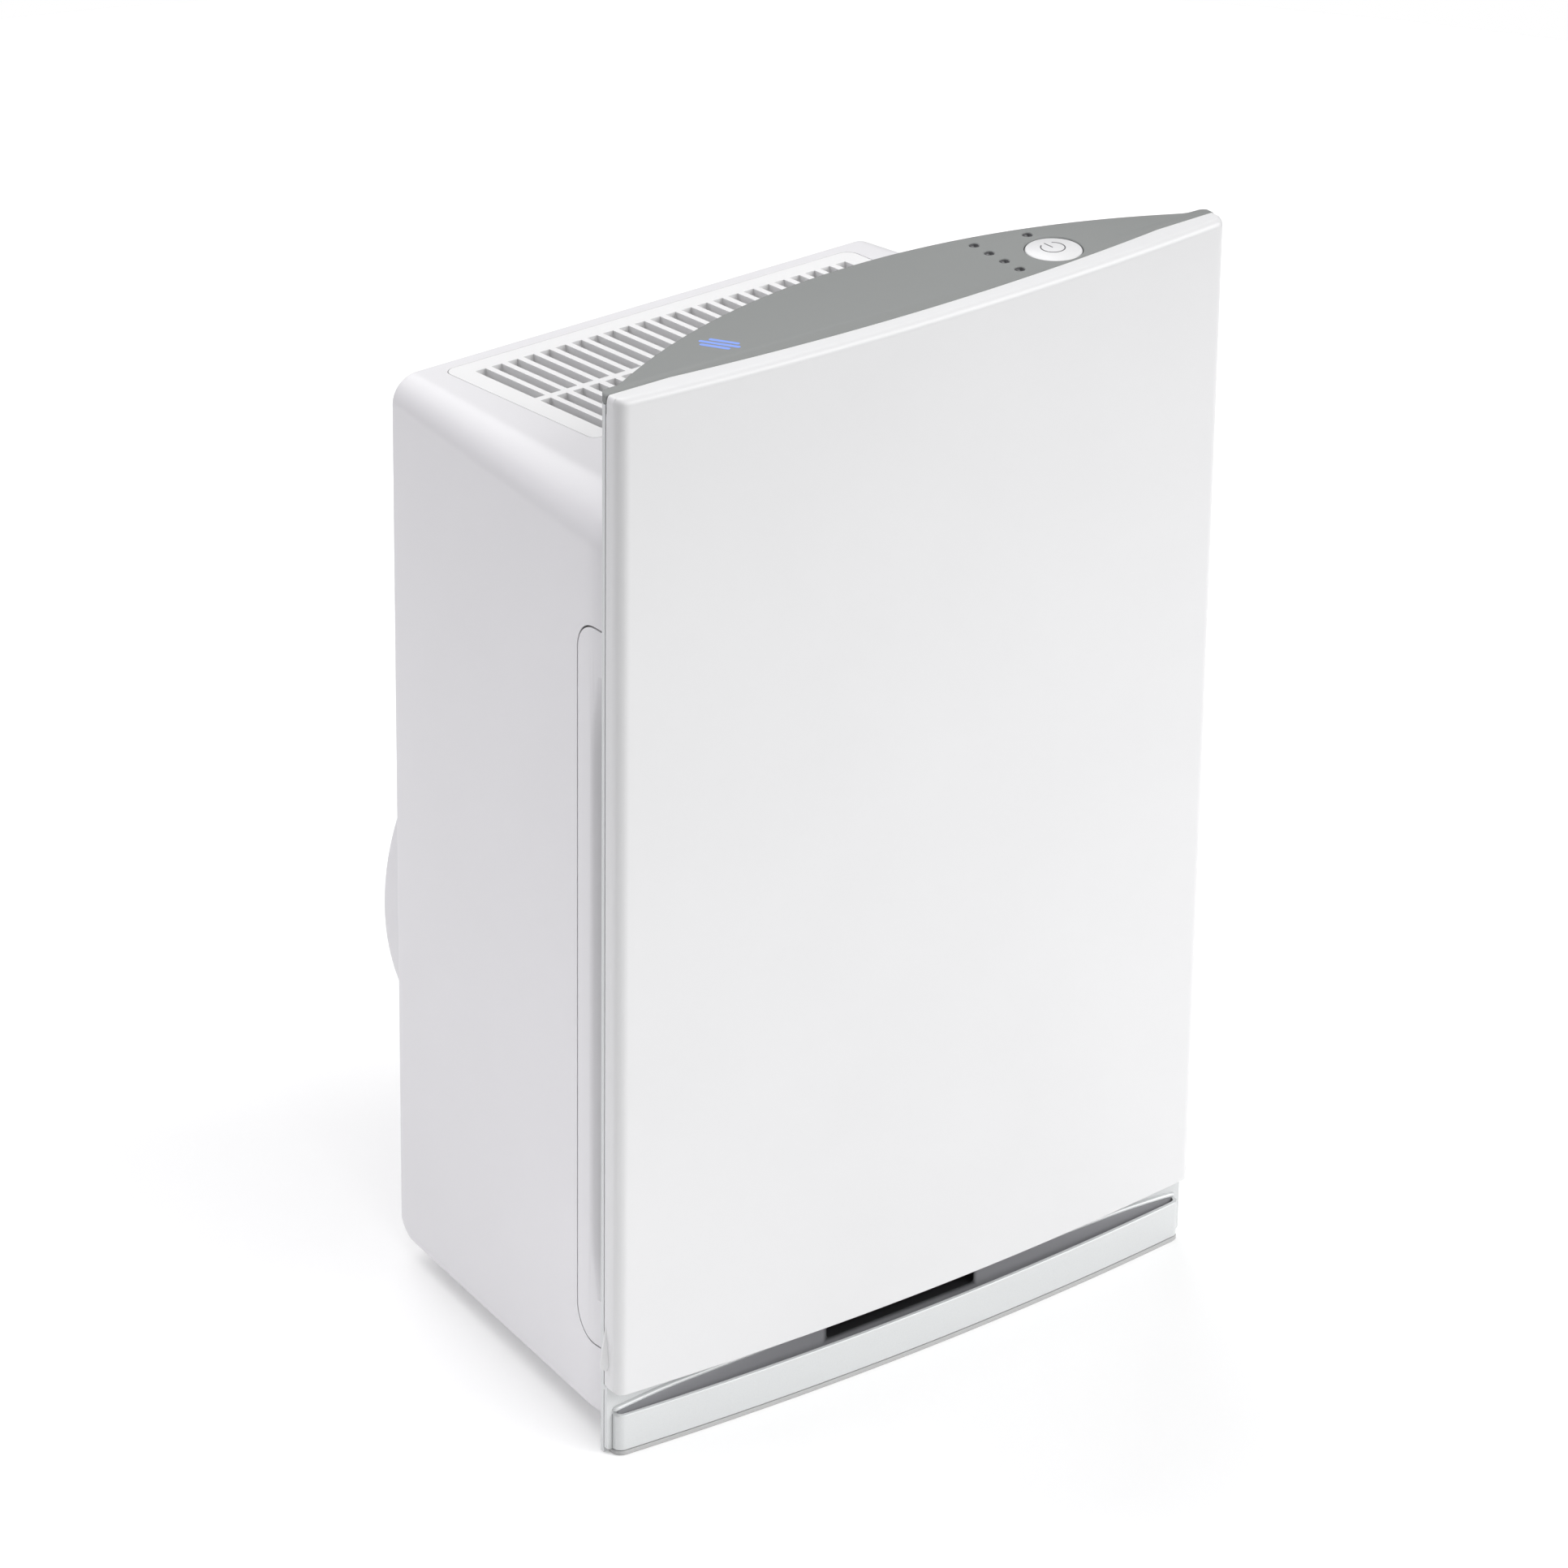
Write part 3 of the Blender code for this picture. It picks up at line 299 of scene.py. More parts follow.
def metal(name, colour, roughness, turned=False):
    surface = Surface(name, colour, roughness, 1.0)
    stretch = (1.0, 0.05, 1.0) if turned else None
    surface.rough(surface.noise(700.0, 3.0, stretch), 0.06)
    surface.tint(surface.noise(40.0, 3.0), 0.95, 1.04)
    surface.bump(surface.noise(1400.0, 2.0, stretch), 0.00001)
    return surface.material


def board(name, colour):
    """Solder mask with the faint lines of copper under it."""
    surface = Surface(name, colour, 0.4)
    bricks = surface.node("ShaderNodeTexBrick", Scale=260.0)
    bricks.inputs["Mortar Size"].default_value = 0.08
    surface.link(surface.place, bricks.inputs["Vector"])
    surface.tint(bricks.outputs["Fac"], 0.8, 1.5)
    surface.bump(bricks.outputs["Fac"], 0.00005)
    return surface.material


def smoky(name, colour):
    """Dark clear plastic for the indicator lenses."""
    surface = Surface(name, colour, 0.12)
    surface.tint(surface.noise(600.0, 2.0), 0.9, 1.1)
    surface.shader.inputs["Coat Weight"].default_value = 0.6
    return surface.material


M = {
    "cover": moulded("cover_white", (0.700, 0.700, 0.706), 0.36, 1500.0, 0.000004, 0.12, 0.00004),
    "case": moulded("case_white", (0.700, 0.693, 0.710), 0.42, 1100.0, 0.000010, 0.08, 0.00004),
    # A lighter copy of the case's white, so that the slats and their shaded hollows come out brighter:
    # painted light.
    "grille": moulded("grille_white_painted_light", (0.765, 0.763, 0.766), 0.42, 1100.0, 0.00001, 0.08),
    "silver": painted_silver("frame_silver", (0.630, 0.642, 0.646)),
    # The channel's grey falls to black at the inlet: painted shade.
    "channel": grey_with_painted_shade("channel_grey_painted_shade", (0.34, 0.34, 0.36)),
    "deck": moulded("deck_grey", (0.222, 0.230, 0.226), 0.58, 1700.0, 0.00003),
    "rubber": moulded("foot_grey", (0.42, 0.42, 0.42), 0.75, 700.0, 0.00004),
    "dark": moulded("dark_plastic", (0.030, 0.030, 0.033), 0.50, 900.0, 0.00003),
    # Near-black strips set into the seams between cover, frame and side inlets: painted shade in the gaps.
    "gap_shade": moulded("seam_painted_shade", (0.11, 0.105, 0.10), 0.8, 900.0, 0.00003),
    "ink": moulded("symbol_ink", (0.10, 0.10, 0.105), 0.45),
    "blue": moulded("inlay_blue", (0.22, 0.34, 0.86), 0.40),
    "lens": smoky("lens_smoky", (0.12, 0.12, 0.125)),
    "mesh": fabric("filter_mesh", (0.030, 0.032, 0.034), 0.0016, 0.0003),
    "tape": fabric("pull_tape", (0.05, 0.05, 0.06), 0.0010, 0.0002),
    "carbon": foam("carbon_foam", (0.020, 0.020, 0.021)),
    "paper": paper("filter_paper", (0.72, 0.72, 0.68)),
    "card": paper("filter_card", (0.62, 0.60, 0.54)),
    "zinc": metal("zinc_steel", (0.55, 0.56, 0.57), 0.35),
    "steel": metal("turned_steel", (0.42, 0.43, 0.44), 0.38, True),
    "board": board("circuit_board", (0.02, 0.12, 0.05)),
    "can": metal("capacitor_can", (0.62, 0.63, 0.64), 0.32, True),
}


# Mesh helpers -----------------------------------------------------------------------------


def shape(name, points, faces, material, sharp=35):
    """A mesh from points in assembly coordinates, smooth except at edges sharper than `sharp`."""
    mesh = bpy.data.meshes.new(name)
    mesh.from_pydata([(x, y + BACK, z) for x, y, z in points], [], faces)
    work = bmesh.new()
    work.from_mesh(mesh)
    bmesh.ops.recalc_face_normals(work, faces=work.faces)
    work.to_mesh(mesh)
    work.free()
    mesh.materials.append(material)
    mesh.shade_smooth()
    mesh.set_sharp_from_angle(angle=math.radians(sharp))
    obj = bpy.data.objects.new(name, mesh)
    bpy.context.scene.collection.objects.link(obj)
    return obj


def loft_faces(rings, size, first=0):
    faces = []
    for ring in range(rings - 1):
        low = first + ring * size
        for i in range(size):
            j = (i + 1) % size
            faces.append((low + i, low + j, low + size + j, low + size + i))
    last = first + (rings - 1) * size
    faces.append(tuple(range(first, first + size)))
    faces.append(tuple(range(last, last + size)))
    return faces


def loft(name, loops, material, sharp=35):
    points = [point for loop in loops for point in loop]
    return shape(name, points, loft_faces(len(loops), len(loops[0])), material, sharp)


def lofts(name, groups, material):
    """Several separate lofts in one mesh."""
    points = []
    faces = []
    for loops in groups:
        faces += loft_faces(len(loops), len(loops[0]), len(points))
        points += [point for loop in loops for point in loop]
    return shape(name, points, faces, material)


def prism(name, outline, axis, low, high, material):
    place = {
        "X": lambda a, b, c: (c, a, b),
        "Y": lambda a, b, c: (a, c, b),
        "Z": lambda a, b, c: (a, b, c),
    }[axis]
    return loft(name, [[place(a, b, level) for a, b in outline] for level in (low, high)], material)


def rectangle(a0, a1, b0, b1):
    return [(a0, b0), (a1, b0), (a1, b1), (a0, b1)]


def circle(centre, radius, steps):
    angles = [2 * math.pi * i / steps for i in range(steps)]
    return [(centre[0] + radius * math.cos(a), centre[1] + radius * math.sin(a)) for a in angles]


def corner(centre, radius, start_degrees, steps):
    angles = [math.radians(start_degrees + 90 * i / steps) for i in range(steps + 1)]
    return [(centre[0] + radius * math.cos(a), centre[1] + radius * math.sin(a)) for a in angles]


def rounded(a0, a1, b0, b1, low_radius, high_radius, steps=6):
    return (
        corner((a0 + low_radius, b0 + low_radius), low_radius, 180, steps)
        + corner((a1 - low_radius, b0 + low_radius), low_radius, 270, steps)
        + corner((a1 - high_radius, b1 - high_radius), high_radius, 0, steps)
        + corner((a0 + high_radius, b1 - high_radius), high_radius, 90, steps)
    )


def quarter(radius, steps):
    """(along, inset) pairs round a quarter edge, from its start to the face."""
    angles = [math.pi / 2 * i / steps for i in range(steps + 1)]
    return [(radius * math.sin(a), radius * (1 - math.cos(a))) for a in angles]


def turned(name, profile, material, steps=96, centre=None):
    """A closed profile of (radius, y) turned about the fan's axis, or about a parallel one."""
    middle = centre or (0.0, FAN_Z)
    size = len(profile)
    points = []
    faces = []
    for k in range(steps):
        angle = 2 * math.pi * k / steps
        for radius, y in profile:
            points.append((middle[0] + radius * math.cos(angle), y, middle[1] + radius * math.sin(angle)))
    for k in range(steps):
        here = k * size
        there = ((k + 1) % steps) * size
        for i in range(size):
            j = (i + 1) % size
            faces.append((here + i, here + j, there + j, there + i))
    return shape(name, points, faces, material)


def combine(target, tools, operation, sharp=35):
    """Joins or cuts with other meshes for good, and removes them."""
    for tool in tools:
        modifier = target.modifiers.new(tool.name, "BOOLEAN")
        modifier.object = tool
        modifier.operation = operation
        modifier.solver = "EXACT"
    bpy.context.view_layer.update()
    graph = bpy.context.evaluated_depsgraph_get()
    mesh = bpy.data.meshes.new_from_object(target.evaluated_get(graph))
    target.modifiers.clear()
    target.data = mesh
    while len(mesh.materials) > 1:
        mesh.materials.pop()
    for polygon in mesh.polygons:
        polygon.material_index = 0
    mesh.shade_smooth()
    mesh.set_sharp_from_angle(angle=math.radians(sharp))
    for tool in tools:
        bpy.data.objects.remove(tool, do_unlink=True)
    return target


def cut(target, *tools):
    return combine(target, tools, "DIFFERENCE")


def fuse(target, *tools):
    return combine(target, tools, "UNION")


def soften(obj, width, segments=2, degrees=40):
    """Rounds the sharp edges a little, as a mould does."""
    bevel = obj.modifiers.new("soft_edges", "BEVEL")
    bevel.width = width
    bevel.segments = segments
    bevel.limit_method = "ANGLE"
    bevel.angle_limit = math.radians(degrees)
    bevel.use_clamp_overlap = True
    bevel.harden_normals = True
    return obj


def settle(obj, body, slot, *nodes):
    """The piece rides on its body and stands for its CAD nodes; its slot is not used."""
    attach(obj, body)
    if nodes:
        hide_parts(*nodes)
    return obj


def refined(node, material, slot, body="housing", width=0.0003):
    """A copy of a solid with its seams welded and its edges softened."""
    mesh = NODES[node].data.copy()
    work = bmesh.new()
    work.from_mesh(mesh)
    bmesh.ops.remove_doubles(work, verts=work.verts, dist=0.000005)
    bmesh.ops.dissolve_limit(work, angle_limit=math.radians(0.5), verts=work.verts, edges=work.edges)
    work.to_mesh(mesh)
    work.free()
    mesh.materials.clear()
    mesh.materials.append(material)
    mesh.shade_smooth()
    mesh.set_sharp_from_angle(angle=math.radians(35))
    obj = bpy.data.objects.new(f"{node}_fine", mesh)
    bpy.context.scene.collection.objects.link(obj)
    if width:
        soften(obj, width)
    return settle(obj, body, slot, node)


def finish_node(node, material):
    """A solid that keeps its shape and gets a new material."""
    obj = NODES[node]
    obj.data.materials.clear()
    obj.data.materials.append(material)


# Shared outlines --------------------------------------------------------------------------


def case_half(y):
    """Half the case's width: it tapers to the rear and curves in a little towards the frame."""
    before_straight = max(1.0 - y / FRONT_CURVE_LENGTH, 0.0)
    return CASE_FRONT_HALF - SIDE_TAPER * y - FRONT_CURVE_DEPTH * before_straight**2


def case_top(y):
    return CASE_TOP - TOP_FALL * y


def case_low(y):
    into_heel = max(y - (CASE_REAR - HEEL_RADIUS), 0.0)
    rise = HEEL_RADIUS - math.sqrt(max(HEEL_RADIUS**2 - into_heel**2, 0.0))
    return CASE_BOTTOM - BOTTOM_FALL * y + rise


def case_section(y, inset=0.0):
    half = case_half(y) - inset
    radius = TOP_RADIUS[0] + (TOP_RADIUS[1] - TOP_RADIUS[0]) * y / CASE_REAR - inset
    low_radius = max(0.0030 - inset, 0.0006)
    outline = rounded(-half, half, case_low(y) + inset, case_top(y) - inset, low_radius, radius, 14)
    return [(x, y, z) for x, z in outline]


def bowed_outline(front, bow, half, rear, radius, steps=56, round_steps=10):
    reach = half - radius
    end = front + reach * reach / (2 * bow)
    points = [(half, rear), (-half, rear)]
    for i in range(round_steps):
        a = math.pi + math.pi / 2 * i / round_steps
        points.append((-reach + radius * math.cos(a), end + radius * (1 + math.sin(a))))
    for i in range(steps + 1):
        x = -reach + 2 * reach * i / steps
        points.append((x, front + x * x / (2 * bow)))
    for i in range(1, round_steps + 1):
        a = 1.5 * math.pi + math.pi / 2 * i / round_steps
        points.append((reach + radius * math.cos(a), end + radius * (1 + math.sin(a))))
    return points


def deck_front(x):
    kink_x, kink_y = DECK_KINK
    share = (abs(x) - kink_x) / (HALF - kink_x)
    if share >= 0:
        return kink_y + (DECK_TIP_FRONT - kink_y) * min(share, 1.0)
    return DECK_FRONT + (kink_y - DECK_FRONT) * (x / kink_x) ** 2


def deck_rear(x):
    """A long arc that eases into a narrow strip over the frame, with a round end."""
    arc = DECK_REAR - DECK_REAR_RADIUS + math.sqrt(DECK_REAR_RADIUS**2 - x**2)
    above = arc - DECK_TIP_RADIUS
    strip = DECK_TIP_RADIUS + (above + math.sqrt(above**2 + DECK_TIP_EASE**2)) / 2
    into_end = max(abs(x) - (HALF - DECK_TIP_RADIUS), 0.0)
    drop = DECK_TIP_RADIUS - math.sqrt(max(DECK_TIP_RADIUS**2 - into_end**2, 0.0))
    return strip - drop


def deck_outline(front_grow=0.0, rear_grow=0.0, half=HALF, inset=0.0):
    front = []
    for i in range(49):
        x = (-half + inset) + 2 * (half - inset) * i / 48
        front.append((x, deck_front(x) - front_grow + inset))
    rear = []
    for i in range(97):
        x = (half - inset) * math.cos(math.pi * i / 96)
        rear.append((x, max(deck_rear(x) + rear_grow - inset, deck_front(x) + inset + 0.0004)))
    return front + rear


# Front cover ------------------------------------------------------------------------------


def cover_loop(z, inset):
    outline = bowed_outline(
        COVER_FRONT + inset, COVER_BOW, HALF - 0.5 * inset, COVER_REAR, COVER_CORNER - 0.5 * inset
    )
    return [(x, y, z) for x, y in outline]


def cover_land(side):
    """The end of the top land, which reaches back over the frame to the deck's edge."""
    loops = []
    steps = [(FRAME_TOP + GAP, 0.0)]
    steps += [(DECK_TOP - COVER_FILLET + rise, inset) for rise, inset in quarter(COVER_FILLET, 8)[1:]]
    for z, inset in steps:
        end = HALF - 0.5 * inset
        inner = 0.120
        back = [(inner + (end - inner) * i / 16) for i in range(17)]
        outline = [(x, max(deck_front(x), -0.0034)) for x in back] + [(end, -0.0060), (inner, -0.0060)]
        loops.append([(side * x, y, z) for x, y in outline])
    return loft("land", loops, M["cover"])


def finger_tab(side):
    """A fin on the cover's side: it widens downwards in a wedge and ends in a round."""
    low, high, reach = 0.0440, 0.0665, 0.0030
    round_end = 0.0045
    stations = []
    for i in range(9):
        a = math.pi / 2 * i / 8
        stations.append((low + round_end * (1 - math.cos(a)), reach * math.sin(a)))
    for i in range(1, 9):
        t = i / 8
        stations.append((low + round_end + (high - low - round_end) * t, reach * (1 - t)))
    loops = []
    for z, out in stations:
        tip = HALF + max(out, 0.00005)
        rear = COVER_REAR - 0.0004
        front = rear - 0.0008 - 0.55 * out
        root = HALF - 0.0012
        plan = [(root, rear), (tip, rear), (tip, rear - 0.0008), (HALF, front), (root, front)]
        loops.append([(side * x, y, z) for x, y in plan])
    return loft("finger_tab", loops, M["cover"], 40)


def make_cover():
    edge = 0.0008
    loops = [cover_loop(COVER_BOTTOM + edge - rise, inset) for rise, inset in reversed(quarter(edge, 3))]
    top = DECK_TOP - COVER_FILLET
    loops += [cover_loop(top + rise, inset) for rise, inset in quarter(COVER_FILLET, 10)]
    cover = loft("cover_panel", loops, M["cover"])
    fuse(cover, cover_land(-1), cover_land(1))
    inner = bowed_outline(COVER_FRONT + SKIN, COVER_BOW, HALF - SKIN, 0.002, COVER_CORNER - 0.002)
    hollow = prism("hollow", inner, "Z", COVER_BOTTOM + SKIN, FRAME_TOP - 0.001, M["cover"])
    around_deck = deck_outline(1.5 * GAP, 0.0, HALF + 0.002)
    room = prism("room", around_deck, "Z", FRAME_TOP - 0.004, 0.530, M["cover"])
    inside = rectangle(-FLANGE_INNER, FLANGE_INNER, -PLATE - GAP, 0.0100)
    cut(cover, hollow, room, prism("plate_room", inside, "Z", 0.0200, FRAME_TOP + GAP, M["cover"]))
    face = rounded(-HALF - GAP, HALF + GAP, COVER_BOTTOM - GAP, DECK_TOP + GAP, FOOT_CORNER, GAP, 8)
    combine(cover, [prism("face", face, "Y", -0.030, 0.010, M["cover"])], "INTERSECT")
    studs = []
    for side in (-1, 1):
        for z in (0.062, 0.415):
            root = COVER_FRONT + 0.150**2 / (2 * COVER_BOW) + 0.001
            studs.append(prism("stud", circle((side * 0.150, z), 0.0030, 20), "Y", root, 0.006, M["cover"]))
    fuse(cover, *studs)
    fuse(cover, finger_tab(-1), finger_tab(1))
    settle(cover, "cover", "white_gloss", "front_cover")


# Case -------------------------------------------------------------------------------------


def grille_outline(grow=0.0):
    low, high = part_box("outlet_grille")
    return rounded(
        low.x - grow,
        high.x + grow,
        low.y - BACK - grow,
        high.y - BACK + grow,
        0.0040 + grow,
        0.0060 + grow,
        8,
    )


def side_inlet_outline(grow=0.0):
    low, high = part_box("side_inlet_left")
    radius = 0.0150 + grow
    rear = high.y - BACK + grow
    bottom = low.z - grow
    top = high.z + grow
    return (
        [(GAP - 3 * grow, bottom)]
        + corner((rear - radius, bottom + radius), radius, 270, 12)
        + corner((rear - radius, top - radius), radius, 0, 12)
        + [(GAP - 3 * grow, top)]
    )


def side_loop(outline, side, depth):
    return [(side * (case_half(y) - depth), y, z) for y, z in outline]


def front_sections(inset):
    steps = 8
    return [case_section(GAP + (FRONT_CURVE_LENGTH - GAP) * i / steps, inset) for i in range(steps + 1)]


def make_case():
    heel = [case_section(CASE_REAR - HEEL_RADIUS * share) for share in (1.0, 0.8, 0.6, 0.42, 0.28, 0.17)]
    edge = [case_section(CASE_REAR - 0.0012 + rise, inset) for rise, inset in quarter(0.0012, 5)]
    case = loft("case_shell", front_sections(0.0) + [case_section(0.08)] + heel + edge, M["case"])
    rear = CASE_REAR - WALL
    inner = [case_section(-0.002, WALL)] + front_sections(WALL)
    inner += [case_section(rear - HEEL_RADIUS * share, WALL) for share in (0.75, 0.5, 0.25, 0.0)]
    tools = [loft("hollow", inner, M["case"])]
    for side in (-1, 1):
        outline = side_inlet_outline(0.0006)
        loops = [side_loop(outline, side, -0.002), side_loop(outline, side, WALL + 0.002)]
        tools.append(loft("notch", loops, M["case"]))
    tools.append(prism("grille_opening", grille_outline(0.0004), "Z", 0.430, 0.480, M["case"]))
    tools.append(prism("fan_opening", circle((0.0, FAN_Z), FAN_OPENING, 72), "Y", 0.190, 0.210, M["case"]))
    low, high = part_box("mains_inlet")
    mains = rounded(low.x - GAP, high.x + GAP, low.z - GAP, high.z + GAP, 0.003, 0.003, 5)
    tools.append(prism("mains_opening", mains, "Y", 0.190, 0.210, M["case"]))
    cut(case, *tools)
    soften(case, 0.00035, 2, 50)
    settle(case, "housing", "white_satin", "rear_case")


def make_side_inlets():
    """Each panel has a long scoop against the front frame, soft at its ends and its rear."""
    bottom, top, rear, depth = 0.072, 0.383, 0.0178, 0.0092
    fade = 0.034
    levels = 26
    back = 0.0115
    for name, side in (("side_inlet_left", -1), ("side_inlet_right", 1)):
        panel = loft(f"{name}_panel", front_sections(0.0) + [case_section(0.040)], M["case"])
        room = [case_section(-0.002, WALL)] + front_sections(WALL) + [case_section(0.050, WALL)]
        cut(panel, loft("panel_room", room, M["case"]))
        outline = side_inlet_outline(-0.0003)
        edge = prism("panel_edge", outline, "X", side * 0.140, side * 0.170, M["case"])
        combine(panel, [edge], "INTERSECT")
        block = rectangle(0.0006, rear + 0.0010, bottom - 0.002, top + 0.002)
        block_loops = [[(side * (case_half(y) - d), y, z) for y, z in block] for d in (0.001, back)]
        fuse(panel, loft("scoop_back", block_loops, M["case"]))
        loops = []
        for k in range(levels + 1):
            z = bottom + (top - bottom) * k / levels
            ends = min(z - bottom, top - z) / fade
            share = 0.06 + 0.94 * math.sin(math.pi / 2 * min(ends, 1.0)) ** 1.5
            profile = [(-0.0010, depth * share)]
            for i in range(9):
                t = i / 8
                y = 0.0030 + (rear * (0.7 + 0.3 * share) - 0.0030) * t
                profile.append((y, depth * share * (0.5 + 0.5 * math.cos(math.pi * t)) ** 0.75))
            profile += [(profile[-1][0], -0.003), (-0.0010, -0.003)]
            loops.append([(side * (case_half(y) - d), y, z) for y, d in profile])
        cut(panel, loft("scoop", loops, M["case"]))
        panel.data.set_sharp_from_angle(angle=math.radians(50))
        soften(panel, 0.0003, 2, 60)
        settle(panel, "housing", "white_satin", name)
        # A dark ring behind the panel's edge fills its seam: painted shade in the gap.
        rim = [side_loop(side_inlet_outline(0.0004), side, d) for d in (0.0010, WALL - 0.0004)]
        gap_shade_ring = loft(f"{name}_seal", rim, M["gap_shade"])
        inner = [side_loop(side_inlet_outline(-0.0004), side, d) for d in (-0.001, WALL + 0.001)]
        cut(gap_shade_ring, loft("gap_shade_room", inner, M["gap_shade"]))
        settle(gap_shade_ring, "housing", "dark_plastic")


def make_grille():
    depth = 0.012
    rows = ((0.0877, 0.1330), (0.1371, 0.1824))
    count, pitch, width, rim = 24, 0.0088, 0.0056, 0.0026

    def sheared(outline, down):
        return [(x, y, case_top(y) - down) for x, y in outline]

    plate = grille_outline()
    grille = loft("grille", [sheared(plate, 0.003), sheared(plate, 0.0)], M["grille"])
    reach = pitch * (count - 1) / 2 + width / 2 + rim
    block = rectangle(-reach, reach, rows[0][0] - rim, rows[1][1] + rim)
    fuse(grille, loft("block", [sheared(block, depth), sheared(block, 0.001)], M["grille"]))
    slots = []
    for y0, y1 in rows:
        for i in range(count):
            x = pitch * (i - (count - 1) / 2)
            slot = rectangle(x - width / 2, x + width / 2, y0, y1)
            slots.append([sheared(slot, depth + 0.004), sheared(slot, -0.004)])
    cut(grille, lofts("slots", slots, M["grille"]))
    soften(grille, 0.0005, 3, 50)
    settle(grille, "housing", "white_satin", "outlet_grille")


def make_motor_cover():
    edge = 0.0015
    outer = [(MOTOR_COVER_RADIUS, CASE_REAR + GAP)]
    for rise, inset in quarter(edge, 5):
        outer.append((MOTOR_COVER_RADIUS - inset, MOTOR_COVER_REAR - edge + rise))
    groove = MOTOR_COVER_RADIUS - 0.018
    outer += [
        (groove + 0.0012, MOTOR_COVER_REAR),
        (groove + 0.0006, MOTOR_COVER_REAR - 0.0006),
        (groove - 0.0006, MOTOR_COVER_REAR - 0.0006),
        (groove - 0.0012, MOTOR_COVER_REAR),
        (0.0002, MOTOR_COVER_REAR),
    ]
    inner = MOTOR_COVER_RADIUS - SKIN
    back = MOTOR_COVER_REAR - SKIN
    profile = outer + [(0.0002, back), (inner - 0.001, back), (inner, back - 0.001)]
    profile.append((inner, CASE_REAR + GAP))
    dish = turned("motor_dish", profile, M["case"], 128)
    settle(dish, "housing", "white_satin", "motor_cover")


# Frame and base ---------------------------------------------------------------------------


def foot_ridge():
    """A rounded ridge along the frame's foot that dips towards its two ends."""
    half = FLANGE_INNER - 0.0004
    steps = 48
    loops = []
    for i in range(steps + 1):
        x = half * math.sin(math.pi / 2 * (2 * i / steps - 1))
        middle = min((half - abs(x)) / RIDGE_RISE_LENGTH, 1.0)
        z = RIDGE_END_Z + (RIDGE_Z - RIDGE_END_Z) * math.sin(math.pi / 2 * middle)
        share = 0.35 + 0.65 * min((half - abs(x)) / 0.0012, 1.0)
        loop = []
        for k in range(13):
            a = -math.pi / 2 + math.pi * k / 12
            out = 0.0004 + RIDGE_REACH * share * math.cos(a)
            spread = RIDGE_LOW if a < 0 else RIDGE_HIGH
            loop.append((x, -PLATE + 0.0004 - out, z + spread * share * math.sin(a)))
        loops.append(loop)
    return loft("foot_ridge", loops, M["silver"], 60)


def inlet_outline(grow):
    return rounded(
        -INLET_HALF - grow, INLET_HALF + grow, INLET_LOW - grow, INLET_HIGH + grow, 0.002, 0.002, 5
    )


def make_frame():
    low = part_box("front_frame")[0].z
    outline = rounded(-HALF, HALF, low, FRAME_TOP, 0.0015, 0.0015, 4)
    plate = prism("frame_plate", outline, "Y", -PLATE, 0.0, M["silver"])
    window = rounded(-0.134, 0.134, 0.060, 0.440, 0.006, 0.006, 6)
    tools = [prism("window", window, "Y", -0.02, 0.02, M["silver"])]
    inlet = inlet_outline(DUCT_WALL + 0.0002)
    tools.append(prism("inlet", inlet, "Y", -0.02, 0.02, M["silver"]))
    button_low, button_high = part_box("power_button")
    centre = ((button_low.x + button_high.x) / 2, (button_low.y + button_high.y) / 2 - BACK)
    notch = circle(centre, (button_high.x - button_low.x) / 2 + 0.0006, 48)
    tools.append(prism("button_notch", notch, "Z", 0.5095, 0.530, M["silver"]))
    for side in (-1, 1):
        for z in (0.062, 0.415):
            stud = circle((side * 0.150, z), 0.0034, 24)
            tools.append(prism("stud_hole", stud, "Y", -0.02, 0.02, M["silver"]))
        for z in (0.044, 0.445):
            screw = circle((side * 0.146, z), 0.0019, 20)
            tools.append(prism("screw_hole", screw, "Y", -0.02, 0.02, M["silver"]))
        centre = (HALF - FOOT_CORNER, COVER_BOTTOM + FOOT_CORNER)
        arc = corner(centre, FOOT_CORNER + GAP, 270, 8)
        rebate = [(x, z) for x, z in arc if x > FLANGE_INNER]
        rebate += [(HALF + 0.001, 0.530), (FLANGE_INNER, 0.530), (FLANGE_INNER, COVER_BOTTOM - GAP)]
        rebate = [(side * x, z) for x, z in rebate]
        tools.append(prism("rebate", rebate, "Y", -0.0100, FLANGE[0], M["silver"]))
        groove = rectangle(side * (HALF - 0.0007), side * (HALF + 0.001), FLANGE[0] - 0.0005, FLANGE[0])
        tools.append(prism("groove", groove, "Z", 0.0, COVER_BOTTOM, M["silver"]))
    cut(plate, *tools)
    for side in (-1, 1):
        edge = rectangle(side * (FLANGE_INNER - 0.0002), side * HALF, FLANGE[0], FLANGE[1])
        fuse(plate, prism("flange", edge, "Z", 0.0006, FRAME_TOP, M["silver"]))
        # A dark strip in the seam between frame and cover: painted shade in the gap.
        seam = rounded(FLANGE_INNER, HALF - 0.0014, -0.00114, -0.00066, 0.0001, 0.0001, 2)
        seam = [(side * x, y) for x, y in seam]
        strip = prism(f"seam_{side}", seam, "Z", COVER_BOTTOM + 0.0060, 0.5150, M["gap_shade"])
        settle(strip, "housing", "dark_plastic")
    fuse(plate, foot_ridge())
    soften(plate, 0.00035, 2, 50)
    settle(plate, "housing", "silver", "front_frame")


